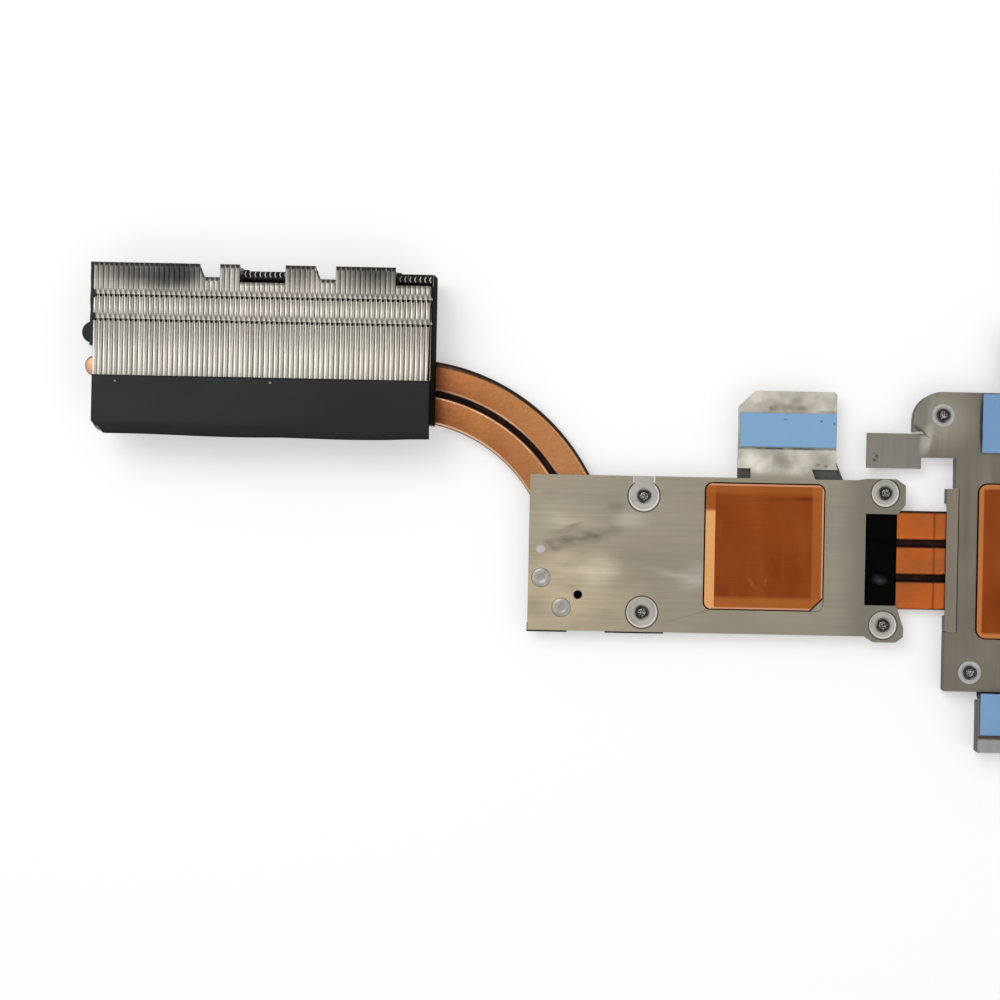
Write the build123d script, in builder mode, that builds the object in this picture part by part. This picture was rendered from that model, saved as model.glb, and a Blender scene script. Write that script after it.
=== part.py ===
from build123d import *
import math
import os

# Laptop cooler, lying on its back: a zipper fin stack, three flat heat pipes and two cold plates.
# Millimetres. The origin is the centre of the processor cold plate's contact face, +Z leaves that
# face, +X runs from the fin stack to the graphics plate and +Y towards the exhaust edge.

# Levels
pad_step = 0.6             # cold plates stand proud of their plates by this
plate_t = 1.2              # both aluminium plates
plate_top = -pad_step
plate_back = plate_top - plate_t

# Flat heat pipes: round pipe pressed flat
pipe_w = 8.3
pipe_t = 2.0
pipe_side = 0.62           # the pipe's round sides, as a chamfer
tip_w = 5.8                # the ends are drawn in to this width
taper_l = 4.0
pipe_z = plate_back - pipe_t / 2
lane_gap = 1.45            # between neighbours under the plates
bend_gap = 0.95            # between the two long pipes in the bends and in the stack
lane_pitch = pipe_w + lane_gap
lane_y = 6.8               # first lane; the others follow one pitch down
lead_angle = 6.2           # the long pipes cross the stack on this slope
steep_angle = 60.0
bend_x = -67.9             # where the outer pipe's sloping runs would meet
bend_y = 43.3
outer_bend_r = 54.8
outer_exit_r = 22.0
inner_exit_r = 32.0
short_pipe_x = -21.3       # the short pipe's full width starts here
pipe_over = 6.8            # the outer pipe's round end stands this far out of the stack
inner_back = 0.8           # and the inner one's stops this much earlier
pipe_past = 1.0            # all three end this far past the graphics cold plate
cap_gap = 0.05

# Fin stack
fin_pitch = 1.38
fin_t = 0.22
fin_fit = 0.04             # a flange stops this short of the next web
stack_left = -185.8
fan_edge = 31.9            # y of the edge that the fan blows into
exhaust_edge = 74.8
stack_h = 12.0
stack_base = plate_back    # the lower flanges lie on the pipes
stack_top = stack_base + stack_h
notch_depth = 3.6
step_flange = 5.4          # stepped fins: how far the top flange stops short
step_web = 1.3             # and how far the web below it stops short
step_drop = 4.5            # height cut off the corner of a stepped fin
zip_rows = (64.65, 58.1)   # y of the two interlock rows
zip_hole = 0.9
zip_run = 1.7              # length of a gap's slanted side
zip_cut = 0.8              # width of a gap, which lies beside the web

# Fins in each group, from the left
full_left_count = 21
notch_left_count = 4
full_mid_left_count = 4
step_mid_count = 9
full_mid_right_count = 6
notch_right_count = 4
full_right_count = 12
step_right_count = 7

# Black film
film_t = 0.15
film_edge = 43.9           # y where the film on the stack's top begins
film_over = 4.3            # it reaches past the fins, over the fan's edge
film_lip = 1.0             # width of the right film's fold on to the top
film_corner = 3.4
strip_t = 1.0              # black strip on the left end of the stack
strip_end = 51.9           # y where it stops

# Processor plate
cpu_left = -65.9
cpu_right = 37.3
cpu_top = 19.2
cpu_bottom = -24.5
cpu_notch_x = 28.4         # the plate stops here between its two right ears
notch_side = 1.1           # the notch is this much lower than the pipes' outer edges
cpu_pad_x = 33.0
cpu_pad_y = 35.0
pad_corner = 1.8
pad_cut = 3.6              # one corner of the processor pad is cut off
pad_gap = 0.35             # all round a cold plate in its window
ear_out = 39.4
ear_cut = 2.6
ear_rise = 0.5             # the upper ear stands past the plate's edge
ear_fall = 1.6             # and the lower one

# Round pieces have this many sides
small_sides = 14
recess_sides = 32

# Captive screws: M2, with a spring behind the plate and a clip in front of it
screw_r = 1.0
shank_r = 1.15
screw_hole_r = 1.4
head_r = 2.7
head_t = 1.2
slot_t = 0.6               # cross recess in the head
slot_l = 3.0
spring_l = 3.4
spring_r = 1.75            # to the middle of the wire
spring_wire = 0.4
spring_pitch = 1.15
spring_steps = 7           # straight runs in a turn
spring_fit = 0.05
clip_t = 0.5
clip_r = 2.05
clip_fit = 0.04
tip_step = 0.1             # the shank reaches this far through the clip
tip_l = 1.25
recess_r = 4.55
recess_d = 0.4
slot_w = 5.6               # the keyhole recess opens this wide at the plate's edge
cpu_holes = [(-33.9, 13.6), (-33.9, -19.0)]
ear_holes = [(33.7, 15.7), (33.7, -21.3)]
ear_recess_r = 4.1

# Tab beyond the processor plate, and soft pads
tab_left = -7.9
tab_right = 19.7
tab_top = 43.7
tab_foot = 21.9            # the tab is wider than its neck above this
tab_cut = 4.5
tab_nick = 0.8
tab_flare = 0.5            # its right side is this much wider at the foot
tab_flare_l = 1.5
neck_flare = 1.0
neck_left = -4.2
neck_right = 13.0
soft_pad_t = 1.2
soft_inset = 0.4           # soft pads stop this short of the metal's side
tab_soft_y = (27.9, 37.6)
brace_t = 0.5
brace_lap = 2.5            # how far the brace reaches under the tab
brace_gap = 1.0            # between the brace and the outer pipe
brace_flare = 2.2

# Graphics plate; its right side is past the photograph and is finished plainly
gpu_left = 51.0
gpu_top = 44.4
gpu_bottom = -39.4
ear_step = 0.6             # the ear's lower side is this far above the arm
ear_slope = (2.3, 2.2)     # cut-off corner between the ear and the window
skirt_arc = (125, 55)      # the ear's skirt: first angle and turn, in degrees
arm_lap = 0.2
gpu_pad_left = 59.9
gpu_pad_bottom = -24.3
gpu_pad_side = 43.0
gpu_right = gpu_pad_left + gpu_pad_side + 10.1
gpu_pad_corner = 2.5
wall_t = 1.0
wall_h = 4.0               # skirt below the plate
ear_x = 49.2
ear_r = 8.0
window_x = (46.1, 53.3)    # open window between the ear and the left edge
window_y = (17.5, 25.9)
bridge_y = (-22.7, 17.3)   # bridge over the pipes at the plate's left edge
bridge_w = 3.4
bridge_low = 0.15          # it lies this much below the plate's face
bridge_leg = 4.2
arm_left = 28.35
arm_y = (22.75, 32.6)
arm_drop = 1.3
joggle = 2.4               # length of the slope down to the arm
washer_r = 3.2
washer_t = 0.3
gpu_holes = [(49.4, 37.8), (58.2, -34.0), (gpu_right - 5.0, 37.8), (gpu_right - 7.0, -34.0)]
gpu_tab_x = (65.6, 93.0)
gpu_tab_top = 62.0
gpu_tab_cut = 3.0
gpu_soft_x = (60.3, gpu_right - 9.3)
gpu_soft_y = (27.4, 44.1)
bracket_x = (60.6, gpu_right - 7.0)
bracket_end = -56.3
bracket_rise = 1.0
bracket_ramp = 1.6
bracket_t = 0.8
bracket_lap = 2.2          # it reaches this far behind the plate's edge
bracket_gap = 0.2          # and clears the edge by this
bracket_soft_end = -51.4

# Small pieces
rivet_spots = [(-62.3, -9.8), (-56.5, -18.1)]
rivet_r = 2.7
rivet_core = 1.25
rivet_head = 0.25
locating_hole = (-51.9, -14.4)
locating_r = 1.2
edge_film_y = (-25.0, -22.3)
edge_film_spans = [(-66.2, -54.9), (-44.5, -27.7)]

os.makedirs("parts", exist_ok=True)


def save(piece, name):
    piece.label = name
    export_step(piece, f"parts/{name}.step")


# Heat pipes: a flat section swept along straight runs and arcs. Both ends narrow to a round tip.

def half_turn(tip, out, width, thick, side_cut=0):
    side = Vector(out.Y, -out.X)
    with BuildPart() as end:
        with BuildSketch(Plane(origin=tip, x_dir=side, z_dir=side.cross(Vector(0, 0, 1)))) as half:
            Rectangle(width, thick)
            if side_cut:
                chamfer(half.vertices(), side_cut)
            with Locations((width / 2, 0)):
                Rectangle(width, thick, mode=Mode.INTERSECT)
        revolve(axis=Axis(tip, (0, 0, 1)), revolution_arc=180)
    return end.part


def drawn_end(start, out, extra=0, side_cut=0):
    with BuildPart() as end:
        for reach, width in ((0, pipe_w), (taper_l, tip_w)):
            with BuildSketch(Plane(origin=start + out * reach, x_dir=(0, 0, 1), z_dir=out)) as section:
                Rectangle(pipe_t + extra, width + extra)
                if side_cut:
                    chamfer(section.vertices(), side_cut)
        loft()
        add(half_turn(start + out * taper_l, out, tip_w + extra, pipe_t + extra, side_cut))
    return end.part


def flat_pipe(route):
    with BuildPart() as pipe:
        with BuildSketch(Plane(origin=route @ 0, x_dir=(0, 0, 1), z_dir=route % 0)) as section:
            Rectangle(pipe_t, pipe_w)
            chamfer(section.vertices(), pipe_side)
        sweep(path=route)
        add(drawn_end(route @ 0, (route % 0) * -1, side_cut=pipe_side))
        add(drawn_end(route @ 1, route % 1, side_cut=pipe_side))
    return pipe.part


lead_dir = Vector(math.cos(math.radians(lead_angle)), -math.sin(math.radians(lead_angle)))
steep_dir = Vector(math.cos(math.radians(steep_angle)), -math.sin(math.radians(steep_angle)))
outer_bend = Vector(bend_x, bend_y)
lead_side = Vector(lead_dir.Y, -lead_dir.X)
steep_side = Vector(steep_dir.Y, -steep_dir.X)
bend_pitch = pipe_w + bend_gap
inner_bend = outer_bend + (lead_side + steep_side) * (bend_pitch / (1 + lead_side.dot(steep_side)))
inner_bend_r = outer_bend_r - bend_pitch
lane_ys = [lane_y - i * lane_pitch for i in range(3)]
end_l = taper_l + tip_w / 2
outer_start = stack_left - pipe_over + end_l
inner_start = outer_start + inner_back
pipe_stop = gpu_pad_left + gpu_pad_side + pipe_past - end_l


def long_route(start_x, bend, bend_r, exit_r, end_y):
    lead = bend.X - start_x
    fall = (bend.Y - end_y) / math.tan(math.radians(steep_angle))
    with BuildLine(Plane.XY.offset(pipe_z)) as route:
        FilletPolyline(
            (start_x, bend.Y + lead * math.tan(math.radians(lead_angle))),
            (bend.X, bend.Y),
            (bend.X + fall, end_y),
            (pipe_stop, end_y),
            radius=[bend_r, exit_r],
        )
    return route.wire()


outer_route = long_route(outer_start, outer_bend, outer_bend_r, outer_exit_r, lane_ys[0])
inner_route = long_route(inner_start, inner_bend, inner_bend_r, inner_exit_r, lane_ys[1])
with BuildLine(Plane.XY.offset(pipe_z)) as short_line:
    Line((short_pipe_x, lane_ys[2]), (pipe_stop, lane_ys[2]))

with BuildPart() as heat_pipe_outer:
    add(flat_pipe(outer_route))
save(heat_pipe_outer.part, "heat_pipe_outer")

with BuildPart() as heat_pipe_inner:
    add(flat_pipe(inner_route))
save(heat_pipe_inner.part, "heat_pipe_inner")

with BuildPart() as heat_pipe_short:
    add(flat_pipe(short_line.wire()))
save(heat_pipe_short.part, "heat_pipe_short")


# Fins: each is one folded sheet, a web with an upper and a lower flange one pitch long. In two rows
# the upper flange has a gap beside the web, where the neighbour's tab is hooked in.

def web_profile(web_end, flange_end):
    with BuildSketch(Plane.YZ) as profile:
        with Locations((fan_edge, stack_base)):
            Rectangle(flange_end - fan_edge, stack_h, align=(Align.MIN, Align.MIN))
            Rectangle(web_end - fan_edge, stack_h - step_drop, align=(Align.MIN, Align.MIN))
    return profile.sketch


def folded_fin(web_end, flange_end):
    width = fin_pitch - fin_fit
    with BuildPart() as fin:
        extrude(web_profile(web_end, flange_end), amount=fin_t)
        with BuildSketch(Plane.XY.offset(stack_top - fin_t)):
            with Locations((0, fan_edge)):
                Rectangle(width, flange_end - fan_edge, align=(Align.MIN, Align.MIN))
            for row in zip_rows:
                Polygon(
                    (fin_t, row),
                    (fin_t + zip_cut, row),
                    (fin_t + zip_cut, row + zip_hole),
                    (fin_t, row + zip_hole + zip_run),
                    align=None,
                    mode=Mode.SUBTRACT,
                )
        extrude(amount=fin_t)
        with BuildSketch(Plane.XY.offset(stack_base)):
            with Locations((0, fan_edge)):
                Rectangle(width, web_end - fan_edge, align=(Align.MIN, Align.MIN))
        extrude(amount=fin_t)
    return fin.part


full_fin = folded_fin(exhaust_edge, exhaust_edge)
ramp_end = exhaust_edge - notch_depth / 2
ramp_fin = folded_fin(ramp_end, ramp_end)
notch_fin = folded_fin(exhaust_edge - notch_depth, exhaust_edge - notch_depth)
step_fin = folded_fin(exhaust_edge - step_web, exhaust_edge - step_flange)


def fin_places(first, copies):
    return Locations(*[(stack_left + (first + i) * fin_pitch, 0, 0) for i in range(copies)])


first_notch_left = full_left_count
first_full_mid_left = first_notch_left + notch_left_count
first_step_mid = first_full_mid_left + full_mid_left_count
first_full_mid_right = first_step_mid + step_mid_count
first_notch_right = first_full_mid_right + full_mid_right_count
first_full_right = first_notch_right + notch_right_count
first_step_right = first_full_right + full_right_count
fin_count = first_step_right + step_right_count
stack_right = stack_left + fin_count * fin_pitch

with BuildPart() as fins_full_left:
    with fin_places(0, full_left_count):
        add(full_fin)
save(fins_full_left.part, "fins_full_left")

# In both notches the first fin is only half as short.
with BuildPart() as fins_notch_left:
    with fin_places(first_notch_left, 1):
        add(ramp_fin)
    with fin_places(first_notch_left + 1, notch_left_count - 1):
        add(notch_fin)
save(fins_notch_left.part, "fins_notch_left")

with BuildPart() as fins_full_mid_left:
    with fin_places(first_full_mid_left, full_mid_left_count):
        add(full_fin)
save(fins_full_mid_left.part, "fins_full_mid_left")

with BuildPart() as fins_step_mid:
    with fin_places(first_step_mid, step_mid_count):
        add(step_fin)
save(fins_step_mid.part, "fins_step_mid")

with BuildPart() as fins_full_mid_right:
    with fin_places(first_full_mid_right, full_mid_right_count):
        add(full_fin)
save(fins_full_mid_right.part, "fins_full_mid_right")

with BuildPart() as fins_notch_right:
    with fin_places(first_notch_right, 1):
        add(ramp_fin)
    with fin_places(first_notch_right + 1, notch_right_count - 1):
        add(notch_fin)
save(fins_notch_right.part, "fins_notch_right")

with BuildPart() as fins_full_right:
    with fin_places(first_full_right, full_right_count):
        add(full_fin)
save(fins_full_right.part, "fins_full_right")

with BuildPart() as fins_step_right:
    with fin_places(first_step_right, step_right_count):
        add(step_fin)
save(fins_step_right.part, "fins_step_right")

# A plain plate with the stepped fins' outline closes the stack's right end.
plate_end = exhaust_edge - step_flange
end_web = web_profile(exhaust_edge - step_web, plate_end)
with BuildPart() as fin_end_plate:
    extrude(end_web.moved(Location((stack_right, 0, 0))), amount=fin_t)
save(fin_end_plate.part, "fin_end_plate")

# Black film: one sheet over the fan side of the top, one folded over the right end, a thicker strip on
# the left end and a cap on the outer pipe's round end. The top sheet's left corner is cut off.
end_face = stack_right + fin_t
with BuildPart() as film_top:
    with BuildSketch(Plane.XY.offset(stack_top)) as film_outline:
        with BuildLine():
            Polyline(
                (stack_left, film_edge),
                (stack_left, fan_edge - film_over),
                (end_face, fan_edge - film_over),
                (end_face, film_edge),
                close=True,
            )
        make_face()
        chamfer(film_outline.vertices().group_by(Axis.X)[0].sort_by(Axis.Y)[0], film_corner)
    extrude(amount=film_t)
save(film_top.part, "film_top")

with BuildPart() as film_side_right:
    extrude(end_web.moved(Location((end_face, 0, 0))), amount=film_t)
    with BuildSketch(Plane.YZ.offset(end_face)):
        with Locations((film_edge, stack_top)):
            Rectangle(plate_end - film_edge, film_t, align=(Align.MIN, Align.MIN))
    extrude(amount=film_t)
    with BuildSketch(Plane.XY.offset(stack_top)):
        with Locations((end_face, film_edge)):
            Rectangle(film_lip, plate_end - film_edge, align=(Align.MAX, Align.MIN))
    extrude(amount=film_t)
save(film_side_right.part, "film_side_right")

with BuildPart() as film_side_left:
    with BuildSketch(Plane.YZ.offset(stack_left)):
        with Locations((strip_end, stack_base)):
            Rectangle(exhaust_edge - strip_end, stack_h, align=(Align.MIN, Align.MIN))
    extrude(amount=-strip_t)
save(film_side_left.part, "film_side_left")

cap_back = stack_left - strip_t - cap_gap
with BuildPart() as film_pipe_end:
    start = outer_route @ 0
    out = (outer_route % 0) * -1
    bore = 2 * cap_gap
    wall = bore + 2 * film_t
    add(drawn_end(start, out, wall))
    add(drawn_end(start, out, bore), mode=Mode.SUBTRACT)
    with BuildSketch(Plane.XY.offset(pipe_z - pipe_t)):
        with Locations((cap_back, start.Y)):
            Rectangle(2 * pipe_w, 2 * pipe_w, align=(Align.MIN, Align.CENTER))
    extrude(amount=2 * pipe_t, mode=Mode.SUBTRACT)
save(film_pipe_end.part, "film_pipe_end")

# Processor plate: a flat sheet with two ears on the right, a tab on a narrow neck, a window for the
# cold plate and a round recess at each screw. The top left recess opens through the edge.
notch_top = lane_ys[0] + pipe_w / 2 - notch_side
notch_bottom = lane_ys[2] - pipe_w / 2 + notch_side
with BuildPart() as cpu_plate:
    with BuildSketch(Plane.XY.offset(plate_back)) as plate_outline:
        with BuildLine():
            Polyline(
                (cpu_left, cpu_bottom),
                (cpu_notch_x, cpu_bottom),
                (cpu_notch_x + ear_cut, cpu_bottom - ear_fall),
                (cpu_right, cpu_bottom - ear_fall),
                (ear_out, cpu_bottom),
                (ear_out, cpu_bottom + ear_cut),
                (cpu_right, notch_bottom),
                (cpu_notch_x, notch_bottom),
                (cpu_notch_x, notch_top),
                (cpu_right, notch_top),
                (ear_out, notch_top + ear_cut),
                (ear_out, cpu_top - ear_cut / 2),
                (ear_out - ear_cut, cpu_top + ear_rise),
                (cpu_notch_x + ear_rise, cpu_top + ear_rise),
                (cpu_notch_x - ear_cut, cpu_top),
                (neck_right + neck_flare, cpu_top),
                (neck_right, tab_foot),
                (tab_right + tab_flare, tab_foot),
                (tab_right, tab_foot + tab_flare_l),
                (tab_right, tab_top - tab_nick),
                (tab_right - tab_nick, tab_top),
                (tab_left + tab_cut, tab_top),
                (tab_left, tab_top - tab_cut),
                (tab_left, tab_foot),
                (neck_left, tab_foot),
                (neck_left, cpu_top),
                (cpu_left, cpu_top),
                close=True,
            )
        make_face()
    extrude(amount=plate_t)
    with BuildSketch(Plane.XY.offset(plate_back)) as window:
        Rectangle(cpu_pad_x + 2 * pad_gap, cpu_pad_y + 2 * pad_gap)
        fillet(window.vertices(), pad_corner + pad_gap)
    extrude(amount=plate_t, mode=Mode.SUBTRACT)
    with BuildSketch(Plane.XY.offset(plate_top)):
        with Locations(*cpu_holes):
            RegularPolygon(recess_r, recess_sides)
        with Locations(*ear_holes):
            RegularPolygon(ear_recess_r, recess_sides)
        with Locations(cpu_holes[0]):
            Rectangle(slot_w, cpu_top - cpu_holes[0][1], align=(Align.CENTER, Align.MIN))
    extrude(amount=-recess_d, mode=Mode.SUBTRACT)
    with BuildSketch(Plane.XY.offset(plate_back)):
        with Locations(*cpu_holes, *ear_holes):
            RegularPolygon(screw_hole_r, small_sides)
    extrude(amount=plate_t, mode=Mode.SUBTRACT)
    with Locations((*locating_hole, plate_top)):
        Hole(locating_r, depth=plate_t)
save(cpu_plate.part, "cpu_plate")

# Cold plates: copper blocks through the plates' windows, down to the pipes.
with BuildPart() as cpu_cold_plate:
    with BuildSketch(Plane.XY.offset(plate_back)) as block:
        Rectangle(cpu_pad_x, cpu_pad_y)
        cut_corner = block.vertices().group_by(Axis.X)[-1].sort_by(Axis.Y)[0]
        chamfer(cut_corner, pad_cut)
        fillet(block.vertices().group_by(Axis.X)[0], pad_corner)
        fillet(block.vertices().group_by(Axis.Y)[-1].sort_by(Axis.X)[-1], pad_corner)
    extrude(amount=-plate_back)
save(cpu_cold_plate.part, "cpu_cold_plate")

# A dark sheet behind the plate's edge stiffens the tab's neck.
brace_foot = lane_ys[0] + pipe_w / 2 + brace_gap
with BuildPart() as tab_brace:
    with BuildSketch(Plane.XY.offset(plate_back)):
        with BuildLine():
            Polyline(
                (tab_left, brace_foot),
                (tab_right + brace_flare, brace_foot),
                (tab_right + brace_flare, cpu_top),
                (tab_right, tab_foot + brace_lap),
                (tab_left, tab_foot + brace_lap),
                close=True,
            )
        make_face()
    extrude(amount=-brace_t)
save(tab_brace.part, "tab_brace")

with BuildPart() as tab_soft_pad:
    with BuildSketch(Plane.XY.offset(plate_top)):
        with Locations((tab_left + soft_inset, tab_soft_y[0])):
            Rectangle(
                tab_right - tab_left - soft_inset,
                tab_soft_y[1] - tab_soft_y[0],
                align=(Align.MIN, Align.MIN),
            )
    extrude(amount=soft_pad_t)
save(tab_soft_pad.part, "tab_soft_pad")

with BuildPart() as clinch_rivets:
    with BuildSketch(Plane.XY.offset(plate_top)):
        with Locations(*rivet_spots):
            RegularPolygon(rivet_r, small_sides)
    extrude(amount=rivet_head)
    with BuildSketch(Plane.XY.offset(plate_top + rivet_head)):
        with Locations(*rivet_spots):
            RegularPolygon(rivet_core, small_sides)
    extrude(amount=-rivet_head / 2, mode=Mode.SUBTRACT)
save(clinch_rivets.part, "clinch_rivets")

# Black tape lies on the pipes in the plate's right notch, and black film shows below its edge.
with BuildPart() as pipe_tape:
    with BuildSketch(Plane.XY.offset(plate_back)):
        with Locations((cpu_notch_x, notch_bottom)):
            Rectangle(
                cpu_right - cpu_notch_x,
                notch_top - notch_bottom,
                align=(Align.MIN, Align.MIN),
            )
    extrude(amount=film_t)
save(pipe_tape.part, "pipe_tape")

with BuildPart() as edge_film:
    with BuildSketch(Plane.XY.offset(plate_back)):
        with Locations((edge_film_spans[0][0], edge_film_y[1])):
            Rectangle(
                edge_film_spans[1][1] - edge_film_spans[0][0],
                edge_film_y[1] - cpu_bottom,
                align=(Align.MIN, Align.MAX),
            )
        for start, end in edge_film_spans:
            with Locations((start, edge_film_y[0])):
                Rectangle(
                    end - start,
                    edge_film_y[1] - edge_film_y[0],
                    align=(Align.MIN, Align.MIN),
                )
    extrude(amount=-film_t)
save(edge_film.part, "edge_film")


# Captive screws: a head with a cross recess behind the plate, and a plain shank through it.

def captive_screw(spot, seat):
    low = plate_back - spring_l
    with BuildPart() as screw:
        with BuildSketch(Plane(origin=(*spot, low - head_t))):
            RegularPolygon(head_r, small_sides)
        extrude(amount=head_t)
        with BuildSketch(Plane(origin=(*spot, low))):
            RegularPolygon(shank_r, small_sides)
        extrude(amount=seat + clip_t + tip_step - low)
        with BuildSketch(Plane(origin=(*spot, seat + clip_t + tip_step))):
            Circle(screw_r)
        extrude(amount=tip_l)
        with BuildSketch(Plane(origin=(*spot, low - head_t))):
            Rectangle(slot_l, slot_t)
            Rectangle(slot_t, slot_l)
        extrude(amount=slot_t, mode=Mode.SUBTRACT)
    return screw.part


# The springs seat on the head and on the plate's back. Each turn is a ring of short straight runs of
# square wire.

def screw_spring(spot):
    low = plate_back - spring_l + spring_wire / 2 + spring_fit
    rise = spring_l - spring_wire - 2 * spring_fit
    turns = rise / spring_pitch
    steps = round(turns * spring_steps)
    corners = []
    for i in range(steps + 1):
        turn = 2 * math.pi * turns * i / steps
        x = spot[0] + spring_r * math.cos(turn)
        y = spot[1] + spring_r * math.sin(turn)
        corners.append((x, y, low + rise * i / steps))
    with BuildPart() as spring:
        with BuildLine() as coil:
            Polyline(*corners)
        with BuildSketch(Plane(origin=coil.wire() @ 0, x_dir=(1, 0, 0), z_dir=coil.wire() % 0)):
            Rectangle(spring_wire, spring_wire)
        sweep(path=coil.wire(), transition=Transition.RIGHT)
    return spring.part


# Retaining clips: flat spring rings, open on one side.

def retaining_clip(spot, seat):
    with BuildPart() as clip:
        with BuildSketch(Plane(origin=(*spot, seat))):
            RegularPolygon(clip_r, small_sides)
            RegularPolygon(shank_r + clip_fit, small_sides, mode=Mode.SUBTRACT)
            with Locations((0, clip_r)):
                Rectangle(screw_r, 2 * clip_r, mode=Mode.SUBTRACT)
        extrude(amount=clip_t)
    return clip.part


cpu_seat = plate_top - recess_d
with BuildPart() as cpu_screws:
    for spot in cpu_holes + ear_holes:
        add(captive_screw(spot, cpu_seat))
save(cpu_screws.part, "cpu_screws")

with BuildPart() as cpu_screw_springs:
    for spot in cpu_holes + ear_holes:
        add(screw_spring(spot))
save(cpu_screw_springs.part, "cpu_screw_springs")

with BuildPart() as cpu_screw_clips:
    for spot in cpu_holes + ear_holes:
        add(retaining_clip(spot, cpu_seat))
save(cpu_screw_clips.part, "cpu_screw_clips")

gpu_seat = plate_top + washer_t
with BuildPart() as gpu_screws:
    for spot in gpu_holes:
        add(captive_screw(spot, gpu_seat))
save(gpu_screws.part, "gpu_screws")

with BuildPart() as gpu_screw_springs:
    for spot in gpu_holes:
        add(screw_spring(spot))
save(gpu_screw_springs.part, "gpu_screw_springs")

with BuildPart() as gpu_screw_clips:
    for spot in gpu_holes:
        add(retaining_clip(spot, gpu_seat))
save(gpu_screw_clips.part, "gpu_screw_clips")

with BuildPart() as gpu_screw_washers:
    with BuildSketch(Plane.XY.offset(plate_top)):
        with Locations(*gpu_holes):
            RegularPolygon(washer_r, small_sides)
            RegularPolygon(screw_hole_r, small_sides, mode=Mode.SUBTRACT)
    extrude(amount=washer_t)
save(gpu_screw_washers.part, "gpu_screw_washers")

# Graphics plate: a pressed sheet with a round ear, an upward tab, a skirt bent down along its left
# edge and window, and an arm that steps down and reaches back over the gap to the first plate.
ear_y = gpu_top - ear_r
ear_low = arm_y[1] + ear_step
ear_side = ear_x - ear_r
arm_top = plate_top - arm_drop
arm_right = window_x[0]
with BuildPart() as gpu_plate:
    with BuildSketch(Plane.XY.offset(plate_back)) as gpu_outline:
        with BuildLine():
            Polyline(
                (ear_x, gpu_top),
                (gpu_tab_x[0], gpu_top),
                (gpu_tab_x[0], gpu_tab_top - gpu_tab_cut),
                (gpu_tab_x[0] + gpu_tab_cut, gpu_tab_top),
                (gpu_tab_x[1] - gpu_tab_cut, gpu_tab_top),
                (gpu_tab_x[1], gpu_tab_top - gpu_tab_cut),
                (gpu_tab_x[1], gpu_top),
                (gpu_right, gpu_top),
                (gpu_right, gpu_bottom),
                (gpu_left, gpu_bottom),
                (gpu_left, bridge_y[0] - bridge_low),
                (gpu_left + bridge_w, bridge_y[0] - bridge_low),
                (gpu_left + bridge_w, bridge_y[1] + bridge_low),
                (window_x[1], bridge_y[1] + bridge_low),
                (window_x[1], window_y[1]),
                (window_x[0], window_y[1]),
                (window_x[0], ear_low - ear_slope[1]),
                (window_x[0] - ear_slope[0], ear_low),
                (ear_side, ear_low),
                (ear_side, ear_y),
            )
            RadiusArc((ear_side, ear_y), (ear_x, gpu_top), ear_r)
        make_face()
    extrude(amount=plate_t)
    with BuildSketch(Plane.XY.offset(plate_back)) as gpu_window:
        with Locations((gpu_pad_left + gpu_pad_side / 2, gpu_pad_bottom + gpu_pad_side / 2)):
            Rectangle(gpu_pad_side + 2 * pad_gap, gpu_pad_side + 2 * pad_gap)
        fillet(gpu_window.vertices(), gpu_pad_corner + pad_gap)
    extrude(amount=plate_t, mode=Mode.SUBTRACT)
    with BuildSketch(Plane.XY.offset(plate_back)):
        with BuildLine():
            outer_skirt = CenterArc((ear_x, ear_y), ear_r, *skirt_arc)
            inner_skirt = CenterArc((ear_x, ear_y), ear_r - wall_t, *skirt_arc)
            Line(outer_skirt @ 0, inner_skirt @ 0)
            Polyline(
                outer_skirt @ 1,
                (ear_side, ear_low),
                (ear_side + wall_t, ear_low),
                inner_skirt @ 1,
            )
        make_face()
        with Locations((window_x[1], bridge_y[1] + bridge_low)):
            Rectangle(wall_t, window_y[1] - bridge_y[1] - bridge_low, align=(Align.MIN, Align.MIN))
        with Locations((gpu_left, gpu_bottom)):
            Rectangle(wall_t, bridge_y[0] - bridge_low - gpu_bottom, align=(Align.MIN, Align.MIN))
        with Locations((gpu_right, gpu_bottom)):
            Rectangle(wall_t, gpu_top - gpu_bottom, align=(Align.MAX, Align.MIN))
    extrude(amount=-wall_h)
    with BuildSketch(Plane.XZ.offset(-arm_y[1])):
        with BuildLine():
            Polyline(
                (arm_left, arm_top),
                (arm_right - joggle, arm_top),
                (arm_right, plate_top),
                (arm_right + arm_lap, plate_top),
                (arm_right + arm_lap, plate_back),
                (arm_right, plate_back),
                (arm_right - joggle, arm_top - plate_t),
                (arm_left, arm_top - plate_t),
                close=True,
            )
        make_face()
    extrude(amount=arm_y[1] - window_y[1])
    with BuildSketch(Plane.XY.offset(arm_top - plate_t)):
        with Locations((arm_left, arm_y[0])):
            Rectangle(
                arm_right - joggle - arm_left,
                window_y[1] - arm_y[0],
                align=(Align.MIN, Align.MIN),
            )
    extrude(amount=plate_t)
    with BuildSketch(Plane.XY.offset(plate_back)):
        with Locations(*gpu_holes):
            RegularPolygon(screw_hole_r, small_sides)
    extrude(amount=plate_t, mode=Mode.SUBTRACT)
save(gpu_plate.part, "gpu_plate")

with BuildPart() as gpu_cold_plate:
    with BuildSketch(Plane.XY.offset(plate_back)) as gpu_block:
        with Locations((gpu_pad_left + gpu_pad_side / 2, gpu_pad_bottom + gpu_pad_side / 2)):
            Rectangle(gpu_pad_side, gpu_pad_side)
        fillet(gpu_block.vertices(), gpu_pad_corner)
    extrude(amount=-plate_back)
save(gpu_cold_plate.part, "gpu_cold_plate")

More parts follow.
